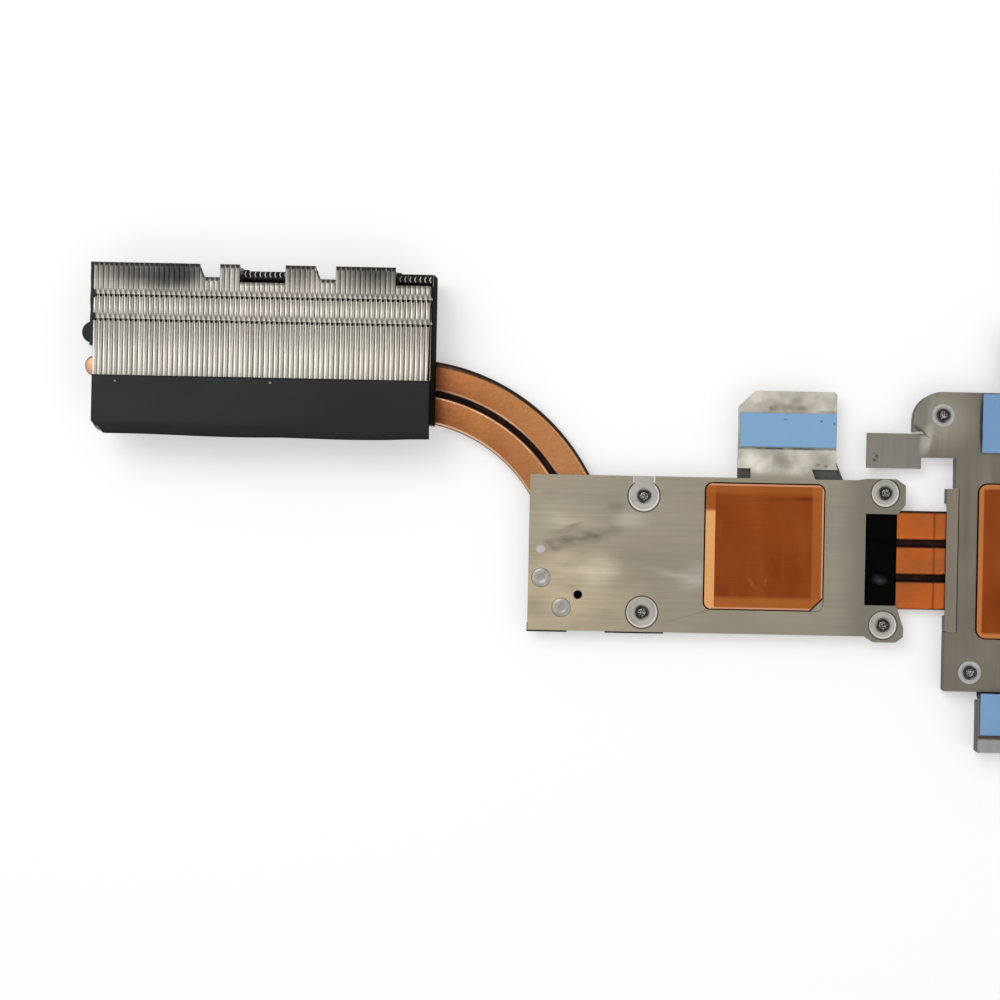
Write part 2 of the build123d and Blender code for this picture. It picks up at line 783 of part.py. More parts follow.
# A narrow bridge crosses the pipes where they enter, with a leg bent down on each side of them.
bridge_top = plate_top - bridge_low
with BuildPart() as pipe_bridge:
    with BuildSketch(Plane.XY.offset(plate_back)):
        with Locations((gpu_left, bridge_y[0])):
            Rectangle(
                bridge_w - bridge_low,
                bridge_y[1] - bridge_y[0],
                align=(Align.MIN, Align.MIN),
            )
    extrude(amount=plate_t - bridge_low)
    with BuildSketch(Plane.XY.offset(plate_back)):
        with Locations((gpu_left, bridge_y[1])):
            Rectangle(wall_t, bridge_leg, align=(Align.MIN, Align.MAX))
        with Locations((gpu_left, bridge_y[0])):
            Rectangle(wall_t, bridge_leg, align=(Align.MIN, Align.MIN))
    extrude(amount=-wall_h)
save(pipe_bridge.part, "pipe_bridge")

with BuildPart() as gpu_soft_pad:
    with BuildSketch(Plane.XY.offset(plate_top)):
        with Locations((gpu_soft_x[0], gpu_soft_y[0])):
            Rectangle(
                gpu_soft_x[1] - gpu_soft_x[0],
                gpu_soft_y[1] - gpu_soft_y[0],
                align=(Align.MIN, Align.MIN),
            )
    extrude(amount=soft_pad_t)
save(gpu_soft_pad.part, "gpu_soft_pad")

# Bracket below the graphics plate: it laps over the plate's edge behind, steps up and carries a
# soft pad, and its left side is bent down.
shelf_top = plate_top + bracket_rise
with BuildPart() as gpu_bracket:
    with BuildSketch(Plane.YZ.offset(bracket_x[0])):
        with BuildLine():
            Polyline(
                (gpu_bottom + bracket_lap, plate_back),
                (gpu_bottom - bracket_gap, plate_back),
                (gpu_bottom - bracket_gap - bracket_ramp, shelf_top),
                (bracket_end, shelf_top),
                (bracket_end, shelf_top - bracket_t),
                (gpu_bottom - bracket_gap - bracket_ramp - bracket_t, shelf_top - bracket_t),
                (gpu_bottom - bracket_gap - bracket_t, plate_back - bracket_t),
                (gpu_bottom + bracket_lap, plate_back - bracket_t),
                close=True,
            )
        make_face()
    extrude(amount=bracket_x[1] - bracket_x[0])
    with BuildSketch(Plane.XY.offset(shelf_top - bracket_t)):
        with Locations((bracket_x[0], bracket_end)):
            Rectangle(
                bracket_t,
                gpu_bottom - bracket_gap - bracket_ramp - bracket_t - bracket_end,
                align=(Align.MIN, Align.MIN),
            )
    extrude(amount=-wall_h - bracket_rise)
save(gpu_bracket.part, "gpu_bracket")

with BuildPart() as bracket_soft_pad:
    with BuildSketch(Plane.XY.offset(shelf_top)):
        with Locations((bracket_x[0] + soft_inset, bracket_soft_end)):
            Rectangle(
                bracket_x[1] - bracket_x[0] - 2 * soft_inset,
                gpu_bottom - bracket_gap - bracket_ramp - bracket_soft_end,
                align=(Align.MIN, Align.MIN),
            )
    extrude(amount=soft_pad_t)
save(bracket_soft_pad.part, "bracket_soft_pad")
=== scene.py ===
import random
from math import atan2, copysign, cos, hypot, pi, radians, sin, tan

import bmesh
import bpy
from mathutils import Matrix, Vector, noise


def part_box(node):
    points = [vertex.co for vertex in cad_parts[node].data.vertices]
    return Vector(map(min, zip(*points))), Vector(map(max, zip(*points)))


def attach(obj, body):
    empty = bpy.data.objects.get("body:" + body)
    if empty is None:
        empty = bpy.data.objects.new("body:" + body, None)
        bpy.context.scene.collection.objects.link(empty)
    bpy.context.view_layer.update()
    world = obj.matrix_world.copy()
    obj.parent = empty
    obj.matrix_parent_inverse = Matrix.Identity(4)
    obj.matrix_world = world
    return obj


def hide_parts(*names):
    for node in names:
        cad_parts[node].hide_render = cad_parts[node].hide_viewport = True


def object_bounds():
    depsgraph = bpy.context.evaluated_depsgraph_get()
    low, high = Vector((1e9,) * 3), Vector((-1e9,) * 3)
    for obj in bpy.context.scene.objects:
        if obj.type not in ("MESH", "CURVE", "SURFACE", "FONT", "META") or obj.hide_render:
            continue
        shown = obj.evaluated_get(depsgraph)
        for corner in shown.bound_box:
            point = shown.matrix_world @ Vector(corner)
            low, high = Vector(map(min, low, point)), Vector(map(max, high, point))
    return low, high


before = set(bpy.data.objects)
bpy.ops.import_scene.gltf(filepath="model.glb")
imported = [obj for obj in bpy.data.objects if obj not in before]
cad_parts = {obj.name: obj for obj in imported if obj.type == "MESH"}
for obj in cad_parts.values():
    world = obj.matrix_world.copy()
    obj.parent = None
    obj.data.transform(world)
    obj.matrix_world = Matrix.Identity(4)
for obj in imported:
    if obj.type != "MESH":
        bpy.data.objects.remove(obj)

# The heatsink lies on its back, contact faces up, as it comes out of its bag. Everything is in
# metres here, and mm turns the maker's millimetres into them.
mm = 0.001
cad_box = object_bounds()
scene = bpy.context.scene
scene.view_settings.view_transform = "Standard"

# Table and light. A white table top under the part, a large soft lamp over its far left corner and
# a weaker one from the right. The camera looks straight down from half a metre.
table_top = cad_box[0].z - 0.02 * mm
table_reach = 4.0
lamp_aim = Vector((-0.04, 0.01, 0))

bm = bmesh.new()
bmesh.ops.create_grid(bm, x_segments=1, y_segments=1, size=table_reach)
bmesh.ops.translate(bm, verts=bm.verts, vec=(0, 0, table_top))
table_mesh = bpy.data.meshes.new("table")
bm.to_mesh(table_mesh)
bm.free()
table = bpy.data.objects.new("table", table_mesh)
scene.collection.objects.link(table)


def add_node(tree, kind, inputs=None, **settings):
    """A new node. Each of its inputs is given as a value or as another node's output."""
    node = tree.nodes.new("ShaderNode" + kind)
    for name, value in settings.items():
        setattr(node, name, value)
    for socket, value in (inputs or {}).items():
        if isinstance(value, bpy.types.NodeSocket):
            tree.links.new(value, node.inputs[socket])
        else:
            node.inputs[socket].default_value = value
    return node


def seen_or_mirrored(tree):
    """1 for rays from the camera, from gloss and through glass, else 0."""
    ray = add_node(tree, "LightPath").outputs
    first = add_node(tree, "Math", {0: ray["Is Camera Ray"], 1: ray["Is Glossy Ray"]}, operation="MAXIMUM")
    second = add_node(
        tree, "Math", {0: first.outputs[0], 1: ray["Is Transmission Ray"]}, operation="MAXIMUM",
    )
    return second.outputs[0]


table_white = bpy.data.materials.new("table_white")
table_white.use_nodes = True
tree = table_white.node_tree
tree.nodes.clear()
paper = add_node(tree, "BsdfDiffuse", {"Color": (0.8, 0.8, 0.8, 1)})
lift_amount = add_node(tree, "Math", {0: seen_or_mirrored(tree), 1: 0.36}, operation="MULTIPLY")
lift = add_node(tree, "Emission", {"Color": (1, 1, 1, 1), "Strength": lift_amount.outputs[0]})
both = add_node(tree, "AddShader", {0: paper.outputs[0], 1: lift.outputs[0]})
add_node(tree, "OutputMaterial", {"Surface": both.outputs[0]})
table_mesh.materials.append(table_white)

world = bpy.data.worlds.new("studio")
scene.world = world
world.use_nodes = True
tree = world.node_tree
tree.nodes.clear()
white_room = add_node(tree, "Background", {"Color": (1, 1, 1, 1), "Strength": 1.0})
room_light = add_node(tree, "Background", {"Color": (0.97, 0.985, 1, 1), "Strength": 0.5})
pick = add_node(tree, "MixShader", {
    "Fac": seen_or_mirrored(tree), 1: room_light.outputs[0], 2: white_room.outputs[0],
})
add_node(tree, "OutputWorld", {"Surface": pick.outputs[0]})

for name, place, side, watts in (
    ("window_lamp", (-0.35, 0.35, 0.75), 0.55, 2.6),
    ("fill_lamp", (0.45, -0.35, 0.7), 0.7, 0.9),
):
    lamp_data = bpy.data.lights.new(name, "AREA")
    lamp_data.size = side
    lamp_data.energy = watts
    lamp = bpy.data.objects.new(name, lamp_data)
    lamp.location = place
    lamp.rotation_euler = (lamp_aim - lamp.location).to_track_quat("-Z", "Y").to_euler()
    scene.collection.objects.link(lamp)

camera_data = bpy.data.cameras.new("camera")
camera_data.sensor_width = 36
camera_data.lens = 36 * 500 / 280
camera_data.shift_x = -0.15
camera_data.clip_start = 0.01
camera = bpy.data.objects.new("camera", camera_data)
camera.location = (-32.2 * mm, 12.5 * mm, 499.4 * mm)
camera.rotation_euler = (0, 0, radians(1.15))
scene.collection.objects.link(camera)
scene.camera = camera

# Heat pipes. Three copper pipes, pressed flat from 6 mm round ones, with their ends drawn in and sealed.
# Two run from the processor plate in one wide bend to under the fins; the third is short and straight.
pipe_width = 8.3 * mm
pipe_thick = 2.0 * mm
tip_width = 5.8 * mm
tip_taper = 4.0 * mm
pipe_level = -2.8 * mm
pipe_corner = 0.95 * mm
lead_angle = 6.2
steep_angle = 60.0
lead_turn = radians(lead_angle)
steep_turn = radians(steep_angle)
outer_bend = Vector((-67.9, 43.3, 0)) * mm
pipe_pitch = 9.25 * mm
lane_ys = [6.8 * mm, -2.95 * mm, -12.7 * mm]
pipe_left_x = -185.7 * mm
pipe_right_x = 97.0 * mm
short_left_x = -21.3 * mm
same_place = 0.001 * mm


# Finishes. A procedural material is built in layers of colour, and these functions all work on the one
# that was begun last. Amounts run from 0 to 1, and places on a finish are in millimetres.
making = {}
usual_soft = 0.8


def begin(name, metallic, roughness, gloss=0.5):
    material = bpy.data.materials.new(name)
    material.use_nodes = True
    tree = material.node_tree
    shader = tree.nodes["Principled BSDF"].inputs
    shader["Metallic"].default_value = metallic
    shader["Roughness"].default_value = roughness
    shader["Specular IOR Level"].default_value = gloss
    making.update(tree=tree, shader=shader, place=add_node(tree, "TexCoord").outputs, colour=None)
    return material


def layer_node(kind, inputs=None, **settings):
    return add_node(making["tree"], kind, inputs, **settings).outputs


def spread(value, low, high, to_low=0.0, to_high=1.0):
    """Maps low..high of a value to to_low..to_high."""
    return layer_node("MapRange", {
        "From Min": low, "From Max": high, "To Min": to_low, "To Max": to_high, "Value": value,
    })["Result"]


def clouds(scale, low, high, stretch=(1, 1, 1), turn=0.0, detail=5):
    """Noise of about scale patches to the metre, from 0 below low to 1 above high."""
    turned = layer_node("Mapping", {
        "Rotation": (0, 0, radians(turn)), "Scale": stretch, "Vector": making["place"]["Object"],
    })
    grain = layer_node("TexNoise", {"Scale": scale, "Detail": detail, "Vector": turned[0]})
    return spread(grain["Fac"], low, high)


def spot(centre, reach, turn=0.0, soft=0.5):
    """1 in an ellipse round centre, turned by degrees, falling to 0 at its reach."""
    turned = layer_node("Mapping", {
        "Location": (centre[0] * mm, centre[1] * mm, 0), "Rotation": (0, 0, radians(turn)),
        "Scale": (reach[0] * mm, reach[1] * mm, 1), "Vector": making["place"]["Object"],
    }, vector_type="TEXTURE")
    length = layer_node("VectorMath", {0: turned[0]}, operation="LENGTH")
    return spread(length["Value"], 1, 1 - soft)


def disc(centre, radius, soft):
    return spot(centre, (radius, radius), 0, soft)


def beyond(centre, radius, soft):
    """0 in a circle and 1 outside it."""
    return spread(disc(centre, radius, soft), 1, 0)


def along(axis):
    return layer_node("SeparateXYZ", {0: making["place"]["Object"]})[axis]


def facing(axis):
    return layer_node("SeparateXYZ", {0: making["place"]["Normal"]})[axis]


def levelness():
    """1 on level faces, 0 on upright ones."""
    return layer_node("Math", {0: facing("Z")}, operation="ABSOLUTE")[0]


def fade(axis, start, end):
    """0 at start and 1 at end along an axis."""
    return spread(along(axis), start * mm, end * mm)


def band(axis, low, high, soft):
    """1 between two places along an axis, with soft sides."""
    return times(fade(axis, low - soft, low), fade(axis, high + soft, high))


def times(*factors):
    product = factors[0]
    for factor in factors[1:]:
        product = layer_node("Math", {0: product, 1: factor}, operation="MULTIPLY")[0]
    return product


def mix(under, over, amount):
    """One colour over another; each is a colour or a socket."""
    pair = {
        side: (*colour, 1) if isinstance(colour, tuple) else colour
        for side, colour in (("A", under), ("B", over))
    }
    return layer_node("Mix", {**pair, "Factor": amount}, data_type="RGBA")["Result"]


def base(under, over, amount):
    making["colour"] = mix(under, over, amount)


def lay(over, *factors):
    """Lays a colour over the layers so far, by the product of the factors."""
    making["colour"] = mix(making["colour"], over, times(*factors))


def sides(shade, high, low):
    """Lays a colour on upright faces as painted shade, none where levelness is over high and all below low.
    """
    lay(shade, spread(levelness(), high, low))


def marks(rows, *factors):
    """Lays spots of a colour, centre, reach, turn, amount and, where not the usual, softness."""
    for shade, centre, reach, turn, amount, *soft in rows:
        lay(shade, spot(centre, reach, turn, *(soft or [usual_soft])), *factors, amount)


def drive(socket, value):
    making["tree"].links.new(value, making["shader"][socket])


def close(height=None, depth=0.0, rough=None, rubbed=None):
    """Ends with the colour, a relief by height, and roughness between two values by rubbed."""
    drive("Base Color", making["colour"])
    if rough:
        drive("Roughness", spread(rubbed or height, 0, 1, *rough))
    if height:
        drive("Normal", layer_node("Bump", {"Strength": 1.0, "Distance": depth, "Height": height})["Normal"])


def to_piece(bm, name, finish, slot, *replaced, sharp=40):
    mesh = bpy.data.meshes.new(name)
    bm.to_mesh(mesh)
    bm.free()
    mesh.shade_smooth()
    mesh.set_sharp_from_angle(angle=radians(sharp))
    mesh.materials.append(finish)
    piece = bpy.data.objects.new(name, mesh)
    scene.collection.objects.link(piece)
    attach(piece, "root")
    if replaced:
        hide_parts(*replaced)
    return piece


def verts_of(parts):
    return [part for part in parts if isinstance(part, bmesh.types.BMVert)]


def edges_of(parts):
    return [part for part in parts if isinstance(part, bmesh.types.BMEdge)]


def face_outward(bm):
    bmesh.ops.recalc_face_normals(bm, faces=bm.faces)


def round_off(bm, geom, offset, segments, affect="EDGES"):
    bmesh.ops.bevel(
        bm, geom=geom, offset=offset, offset_type="OFFSET", affect=affect, segments=segments,
        profile=0.5, material=-1,
    )


def spin(bm, geom, angle, steps, centre=(0, 0, 0), **more):
    """Spins parts round an upright axis through centre, and gives the last ones made."""
    return bmesh.ops.spin(
        bm, geom=geom, cent=centre, axis=(0, 0, 1), angle=angle, steps=steps, use_duplicate=False, **more,
    )["geom_last"]


def flat_pipe(start, heading, section, ends, legs, far_end=True):
    """Sweeps a flat section, (width, thickness, corner), along legs of (length,) or (radius, turn).

    ends is the taper's length and the tip's width; both ends close in a half turn.
    """
    width, thick, corner = section
    taper, tip_wide = ends
    along = Vector((cos(heading), sin(heading), 0))
    across = Vector((-along.y, along.x, 0))
    bm = bmesh.new()
    outline = []
    for side, rise in ((-1, -1), (0, -1), (1, -1), (1, 1), (0, 1), (-1, 1)):
        outline.append(bm.verts.new(start + across * side * width / 2 + Vector((0, 0, rise * thick / 2))))
    bm.faces.new(outline)
    corners = [v for v in outline if abs((v.co - start).dot(across)) > width / 4]
    round_off(bm, corners, corner, 6, "VERTICES")
    bmesh.ops.delete(bm, geom=list(bm.faces), context="FACES_ONLY")
    ring = list(bm.edges)

    def draw_in(ring, centre, out, across, keep):
        grown = bmesh.ops.extrude_edge_only(bm, edges=ring)["geom"]
        bmesh.ops.translate(bm, verts=verts_of(grown), vec=out * taper)
        tip = centre + out * taper
        turned = Matrix.Rotation(-atan2(across.y, across.x), 4, "Z") @ Matrix.Translation(-tip)
        bmesh.ops.scale(bm, verts=verts_of(grown), vec=(tip_wide / width, 1, 1), space=turned)
        half = [e for e in edges_of(grown) if all((v.co - tip).dot(across) * keep > -1e-7 for v in e.verts)]
        spin(bm, half, -pi, 18, tip)

    draw_in(ring, start, -along, across, -1)
    place = start.copy()
    for leg in legs:
        if len(leg) == 1:
            grown = bmesh.ops.extrude_edge_only(bm, edges=ring)["geom"]
            bmesh.ops.translate(bm, verts=verts_of(grown), vec=along * leg[0])
            place = place + along * leg[0]
        else:
            radius, turn = leg
            centre = place + across * radius * copysign(1, turn)
            grown = spin(bm, ring, radians(turn), max(8, round(abs(turn) / 2)), centre)
            swing = Matrix.Rotation(radians(turn), 3, "Z")
            place = centre + swing @ (place - centre)
            along = swing @ along
            across = swing @ across
        ring = edges_of(grown)
    if far_end:
        draw_in(ring, place, along, across, 1)
    bmesh.ops.remove_doubles(bm, verts=bm.verts, dist=same_place)
    face_outward(bm)
    return bm


def bent_legs(left_x, bend, bend_radius, exit_radius, lane_y):
    """Start and legs of a pipe that slopes down from the fins, bends and runs on in its lane."""
    start = Vector((left_x, bend.y + (bend.x - left_x) * tan(lead_turn), pipe_level))
    corner_x = bend.x + (bend.y - lane_y) / tan(steep_turn)
    first_cut = bend_radius * tan((steep_turn - lead_turn) / 2)
    second_cut = exit_radius * tan(steep_turn / 2)
    legs = [
        ((bend.x - left_x) / cos(lead_turn) - first_cut,),
        (bend_radius, lead_angle - steep_angle),
        ((bend.y - lane_y) / sin(steep_turn) - first_cut - second_cut,),
        (exit_radius, steep_angle),
        (pipe_right_x - corner_x - second_cut,),
    ]
    return start, legs


pipe_copper = begin("pipe_copper", 0.85, 0.3)
facing_y = facing("Y")
base((0.285, 0.108, 0.032), (0.41, 0.094, 0.014), fade("X", 0.0, 36))
lay((0.25, 0.075, 0.022), clouds(70, 0.5, 0.78))
lay((0.43, 0.20, 0.08), clouds(45, 0.55, 0.8, turn=40), 0.6)
lay((0.20, 0.055, 0.022), fade("X", -82, -95), 0.6)
lay((0.56, 0.32, 0.19), fade("X", -185.4, -186.4), 0.75)
in_bend = times(fade("X", -95, -94), fade("X", -42, -46))
# Painted highlight: a glint on the sides of the pipes that face -Y in the bend.
painted_glint = times(
    spread(facing_y, -0.08, -0.25), spread(facing_y, -0.75, -0.5),
    clouds(60, 0.3, 0.55), in_bend,
)
lay((0.80, 0.52, 0.32), painted_glint, 0.85)
# Painted shade on the sides of the pipes that face +Y.
lay((0.014, 0.007, 0.004), spread(facing_y, 0.12, 0.5))
lay((0.42, 0.19, 0.075), fade("X", -78, -58), in_bend, 0.55)
bend_centre = (-101.46, -8.18)
# Painted highlight lines along the pipes' edges in the bend.
for outer, inner, amount in ((58.25, 57.85, 0.6), (49.1, 48.7, 0.5)):
    inside = disc(bend_centre, outer, 0.004)
    outside = beyond(bend_centre, inner, 0.004)
    patchy = clouds(90, 0.4, 0.6)
    lay((0.85, 0.58, 0.38), outside, inside, in_bend, patchy, amount)
# Painted shade on the outer pipe's outer side, and along the gap between the two pipes.
outside = beyond((-100.97, -8.83), 58.25, 0.006)
lay((0.013, 0.008, 0.005), outside, in_bend, 0.95)
outside = beyond(bend_centre, 49.3, 0.006)
inside = disc(bend_centre, 50.85, 0.003)
lay((0.02, 0.009, 0.005), outside, inside, in_bend, 0.95)
# Painted shade of a crease across the pipes in their lanes.
lay((0.10, 0.02, 0.004), band("X", 47.6, 47.9, 0.3), 0.6)
# Painted shade on the pipes' rounded sides.
sides((0.02, 0.009, 0.005), 0.7, 0.5)
close(clouds(900, 0.2, 0.8), 0.03 * mm, (0.24, 0.42))

pipe_section = (pipe_width, pipe_thick, pipe_corner)
pipe_ends = (tip_taper, tip_width)
bend_side = Vector((
    -sin(lead_turn) - sin(steep_turn), -cos(lead_turn) - cos(steep_turn), 0,
)) / (1 + cos(steep_turn - lead_turn))
inner_bend = outer_bend + bend_side * pipe_pitch
for name, left_x, bend, bend_radius, exit_radius, lane_y, node in (
    ("outer_pipe", pipe_left_x, outer_bend, 54.8 * mm, 22 * mm, lane_ys[0], "heat_pipe_outer"),
    ("inner_pipe", pipe_left_x + 0.8 * mm, inner_bend, 45.55 * mm, 32 * mm, lane_ys[1], "heat_pipe_inner"),
):
    start, legs = bent_legs(left_x, bend, bend_radius, exit_radius, lane_y)
    bm = flat_pipe(start, -lead_turn, pipe_section, pipe_ends, legs)
    to_piece(bm, name, pipe_copper, "copper_pipe", node)

start = Vector((short_left_x, lane_ys[2], pipe_level))
bm = flat_pipe(start, 0, pipe_section, pipe_ends, [(pipe_right_x - short_left_x,)])
to_piece(bm, "short_pipe", pipe_copper, "copper_pipe", "heat_pipe_short")

# Seams between the pipes. Dark strips fill the narrow gap of the two long pipes and the gaps between the
# plates: painted shade standing for the shade in these gaps.
seam_section = (1.3 * mm, 0.9 * mm, 0.2 * mm)
lane_section = (1.8 * mm, 0.9 * mm, 0.2 * mm)
seam_ends = (0.4 * mm, 1.0 * mm)
seam_level = Vector((0, 0, -0.15 * mm))
middle_bend = outer_bend + bend_side * pipe_pitch / 2


def two_tone(name, surface, dark, light, patches, depth=0.0):
    """Clouds of two colours, and where depth is given a relief by the same clouds."""
    finish = begin(name, *surface)
    height = clouds(*patches)
    base(dark, light, height)
    close(height if depth else None, depth)
    return finish


gap_shade_dark = two_tone(
    "gap_shade_dark", (0.1, 0.6, 0.08), (0.006, 0.002, 0.0012), (0.032, 0.008, 0.004), (300, 0.4, 0.7), 0.1 * mm,
)
start, legs = bent_legs(pipe_left_x + mm, middle_bend, 50.175 * mm, 27 * mm, lane_ys[0] - pipe_pitch / 2)
bm = flat_pipe(start + seam_level, -lead_turn, seam_section, seam_ends, legs[:2] + [(8 * mm,)])
to_piece(bm, "bend_gap_shade", gap_shade_dark, "black_film")
for name, upper, lower in (("upper_lane_gap_shade", 0, 1), ("lower_lane_gap_shade", 1, 2)):
    start = Vector((26 * mm, (lane_ys[upper] + lane_ys[lower]) / 2, pipe_level)) + seam_level
    bm = flat_pipe(start, 0, lane_section, seam_ends, [(29 * mm,)])
    to_piece(bm, name, gap_shade_dark, "black_film")

# Fins. Each is one folded strip of thin aluminium: a lower flange soldered to the pipes, a web, and an
# upper flange whose rounded fold carries a painted highlight line. In two rows a slanted tab of each
# flange lies over its neighbour's fold, with an open hook hole below it; painted shade darkens the gaps.
fin_pitch = 1.38 * mm
fin_sheet = 0.18 * mm
stack_left = -185.8 * mm
stack_base = -1.8 * mm
stack_top = 10.2 * mm
fan_edge = 31.9 * mm
exhaust_edge = 74.8 * mm
notch_end = 71.2 * mm
step_end = 69.9 * mm
step_web = 73.5 * mm
step_level = 5.7 * mm
ramp = 3.6 * mm
hook_rows = (58.6 * mm, 65.3 * mm)
hook_hole = 0.7 * mm
hook_run = 1.7 * mm
tooth = 1.0 * mm

fin_metal = begin("fin_aluminium", 0.75, 0.36)
each = layer_node("Attribute", attribute_name="tone")["Fac"]
painted_light = layer_node("Attribute", attribute_name="painted_light")["Fac"]
base((0.235, 0.218, 0.19), (0.36, 0.335, 0.295), each)
lay((0.17, 0.155, 0.135), clouds(400, 0.3, 0.7, stretch=(1, 0.06, 1)), 0.45)
lay((0.25, 0.26, 0.20), clouds(25, 0.45, 0.6), 0.25)
lay((0.36, 0.29, 0.27), clouds(31, 0.52, 0.66), 0.3)
lay((0.20, 0.18, 0.145), fade("X", -125, -95), 0.6)
# Painted highlight on the fins' folds, where the vertex mark is high.
lay((0.74, 0.71, 0.65), spread(painted_light, 0.1, 1.0), 0.6)
# Painted dark reflection on the flanges towards the exhaust edge, and in the patches below.
lay((0.07, 0.066, 0.058), fade("Y", 67.5, 74), 0.62)
painted_dark_reflection = (0.022, 0.023, 0.022)
marks((
    (painted_dark_reflection, (-163, 71.6), (11, 5.6), 8, 1.0),
    (painted_dark_reflection, (-163.5, 72.4), (9, 4.6), 6, 0.9),
    (painted_dark_reflection, (-174, 72.0), (15, 5.0), -5, 0.8),
    (painted_dark_reflection, (-109, 74.2), (14, 9), 0, 0.85),
    (painted_dark_reflection, (-129.5, 73.5), (7, 7), 0, 0.55),
), clouds(180, 0.05, 0.4, stretch=(1, 0.25, 1)))
# Painted highlight on the tabs' raised tips and on the crescents.
lay((0.88, 0.85, 0.79), spread(painted_light, 1.2, 1.7), 0.8)
# Painted shade where the vertex mark is below 0: in the gaps by the hooks, at the flanges' ends and on the
# stepped ends, which stand for shade and for the black film seen there.
lay((0.008, 0.008, 0.008), spread(painted_light, 0.0, -0.8))
# Painted shade on the upright webs, deep between the fins.
lay((0.05, 0.047, 0.042), spread(levelness(), 0.25, 0.02), 0.9)
close(clouds(1800, 0.2, 0.8, stretch=(1, 0.15, 1)), 0.02 * mm, (0.3, 0.46))


def fin_mesh(web_end, flange_end, slope=0.0, under=0.0, crescent_y=None):
    """One fin at x = 0. slope shortens the upper flange's far side, under the web and lower flange.

    Its columns are the lower flange (0 to 3), the web (4 and 5), the fold with its painted highlight (6 to 8)
    and the upper flange (9 to 12). Its vertex mark is high where a highlight is painted and below 0 where
    shade is painted.
    """
    section = [
        (1.34, -1.8), (0.36, -1.8), (0.08, -1.72), (0.0, -1.4), (0.0, 5.7), (0.0, 9.95), (0.02, 10.08),
        (0.08, 10.16), (0.2, 10.2), (0.32, 10.2), (0.66, 10.2), (1.04, 10.2), (1.36, 10.18),
    ]
    fold = (6, 7, 8)
    columns = len(section)
    last = columns - 1
    stations = [fan_edge, 45 * mm]
    for row in hook_rows:
        stations += [row, row + hook_hole, row + hook_hole + 0.02 * mm, row + hook_hole + hook_run]
    stepped = web_end > flange_end
    stations += [flange_end - tooth - 0.3 * mm, flange_end - tooth, flange_end]
    if stepped:
        stations += [flange_end + 0.1 * mm, web_end]
    flange_row = stations.index(flange_end)
    hole_rows = [stations.index(row) for row in hook_rows]
    bm = bmesh.new()
    painted_light = bm.verts.layers.float.new("painted_light")
    bmesh.ops.create_grid(bm, x_segments=last, y_segments=len(stations) - 1, size=1)
    bm.verts.ensure_lookup_table()
    for r, y in enumerate(stations):
        for c, (x, z) in enumerate(section):
            vert = bm.verts[r * columns + c]
            x, z = x * mm, z * mm
            vert[painted_light] = 1.1 if 7 <= c <= 9 else 0.0
            if r - 2 in hole_rows:
                if c >= last - 1:
                    x, z = x + (0.3 + 0.25 * (c - last + 1)) * mm, z + 0.12 * mm
                    vert[painted_light] = 1.8
                elif 5 <= c <= 9:
                    x, z = x + 0.1 * mm, z - 0.35 * mm
                    vert[painted_light] = -0.9
            if (r in hole_rows or r - 1 in hole_rows) and 6 <= c <= 9:
                z -= 0.12 * mm
            if r in (flange_row, flange_row - 1) and not stepped:
                vert[painted_light] = 0.9 if c in fold or c == last else -0.65
            if r == flange_row and c > 5:
                z -= (0.1 if c in fold else 0.35) * mm
            if r > flange_row and c >= 4:
                vert[painted_light] = -1.0
                z = min(z, step_level + 0.05 * mm)
            short = slope * section[c][0] / section[last][0] if c > 5 else under
            vert.co = (x, y - short if r >= flange_row - 2 else y, z)
    bm.verts.index_update()
    gone = []
    for face in bm.faces:
        r = min(v.index for v in face.verts) // columns
        c = min(v.index % columns for v in face.verts)
        hook_gap = r in hole_rows and c in (9, 10) or r - 1 in hole_rows and c >= 9
        if hook_gap or r == flange_row and c >= 5:
            gone.append(face)
    bmesh.ops.delete(bm, geom=gone, context="FACES")
    if crescent_y:
        centre = Vector((1.4 * mm, crescent_y, step_level + 0.45 * mm))
        line = [bm.verts.new(centre + Vector((-reach * mm, 0, 0))) for reach in (0.72, 0.88, 1.04)]
        middle = [bm.edges.new(pair) for pair in zip(line, line[1:])]
        for half in (-1, 1):
            tip = verts_of(spin(bm, middle, half * 1.05, 4, centre))
            bmesh.ops.scale(bm, verts=tip, vec=(0.3, 0.3, 1), space=Matrix.Translation(-tip[1].co))
        for vert in bm.verts:
            if abs(vert.co.z - centre.z) < 0.01 * mm:
                vert[painted_light] = 1.3
    return bm


def copies(groups, *marks):
    """Copies of meshes in one. A group is a mesh and a list of a matrix and a tone for each copy."""
    many = bmesh.new()
    layers = many.verts.layers.float
    for mark in ("tone", *marks):
        layers.new(mark)
    for maker, changes in groups:
        one = bpy.data.meshes.new("one")
        maker.to_mesh(one)
        for change, shade in changes:
            before = len(many.verts)
            many.from_mesh(one)
            many.verts.ensure_lookup_table()
            pairs = [(maker.verts.layers.float[mark], layers[mark]) for mark in marks]
            tone = layers["tone"]
            for old, new in zip(maker.verts, many.verts[before:]):
                new[tone] = shade
                new.co = change @ old.co
                for source, made in pairs:
                    new[made] = old[source]
        bpy.data.meshes.remove(one)
    return many


def thicken(piece, thickness, offset):
    sheet = piece.modifiers.new("sheet", "SOLIDIFY")
    sheet.thickness = thickness
    sheet.offset = offset
    return piece


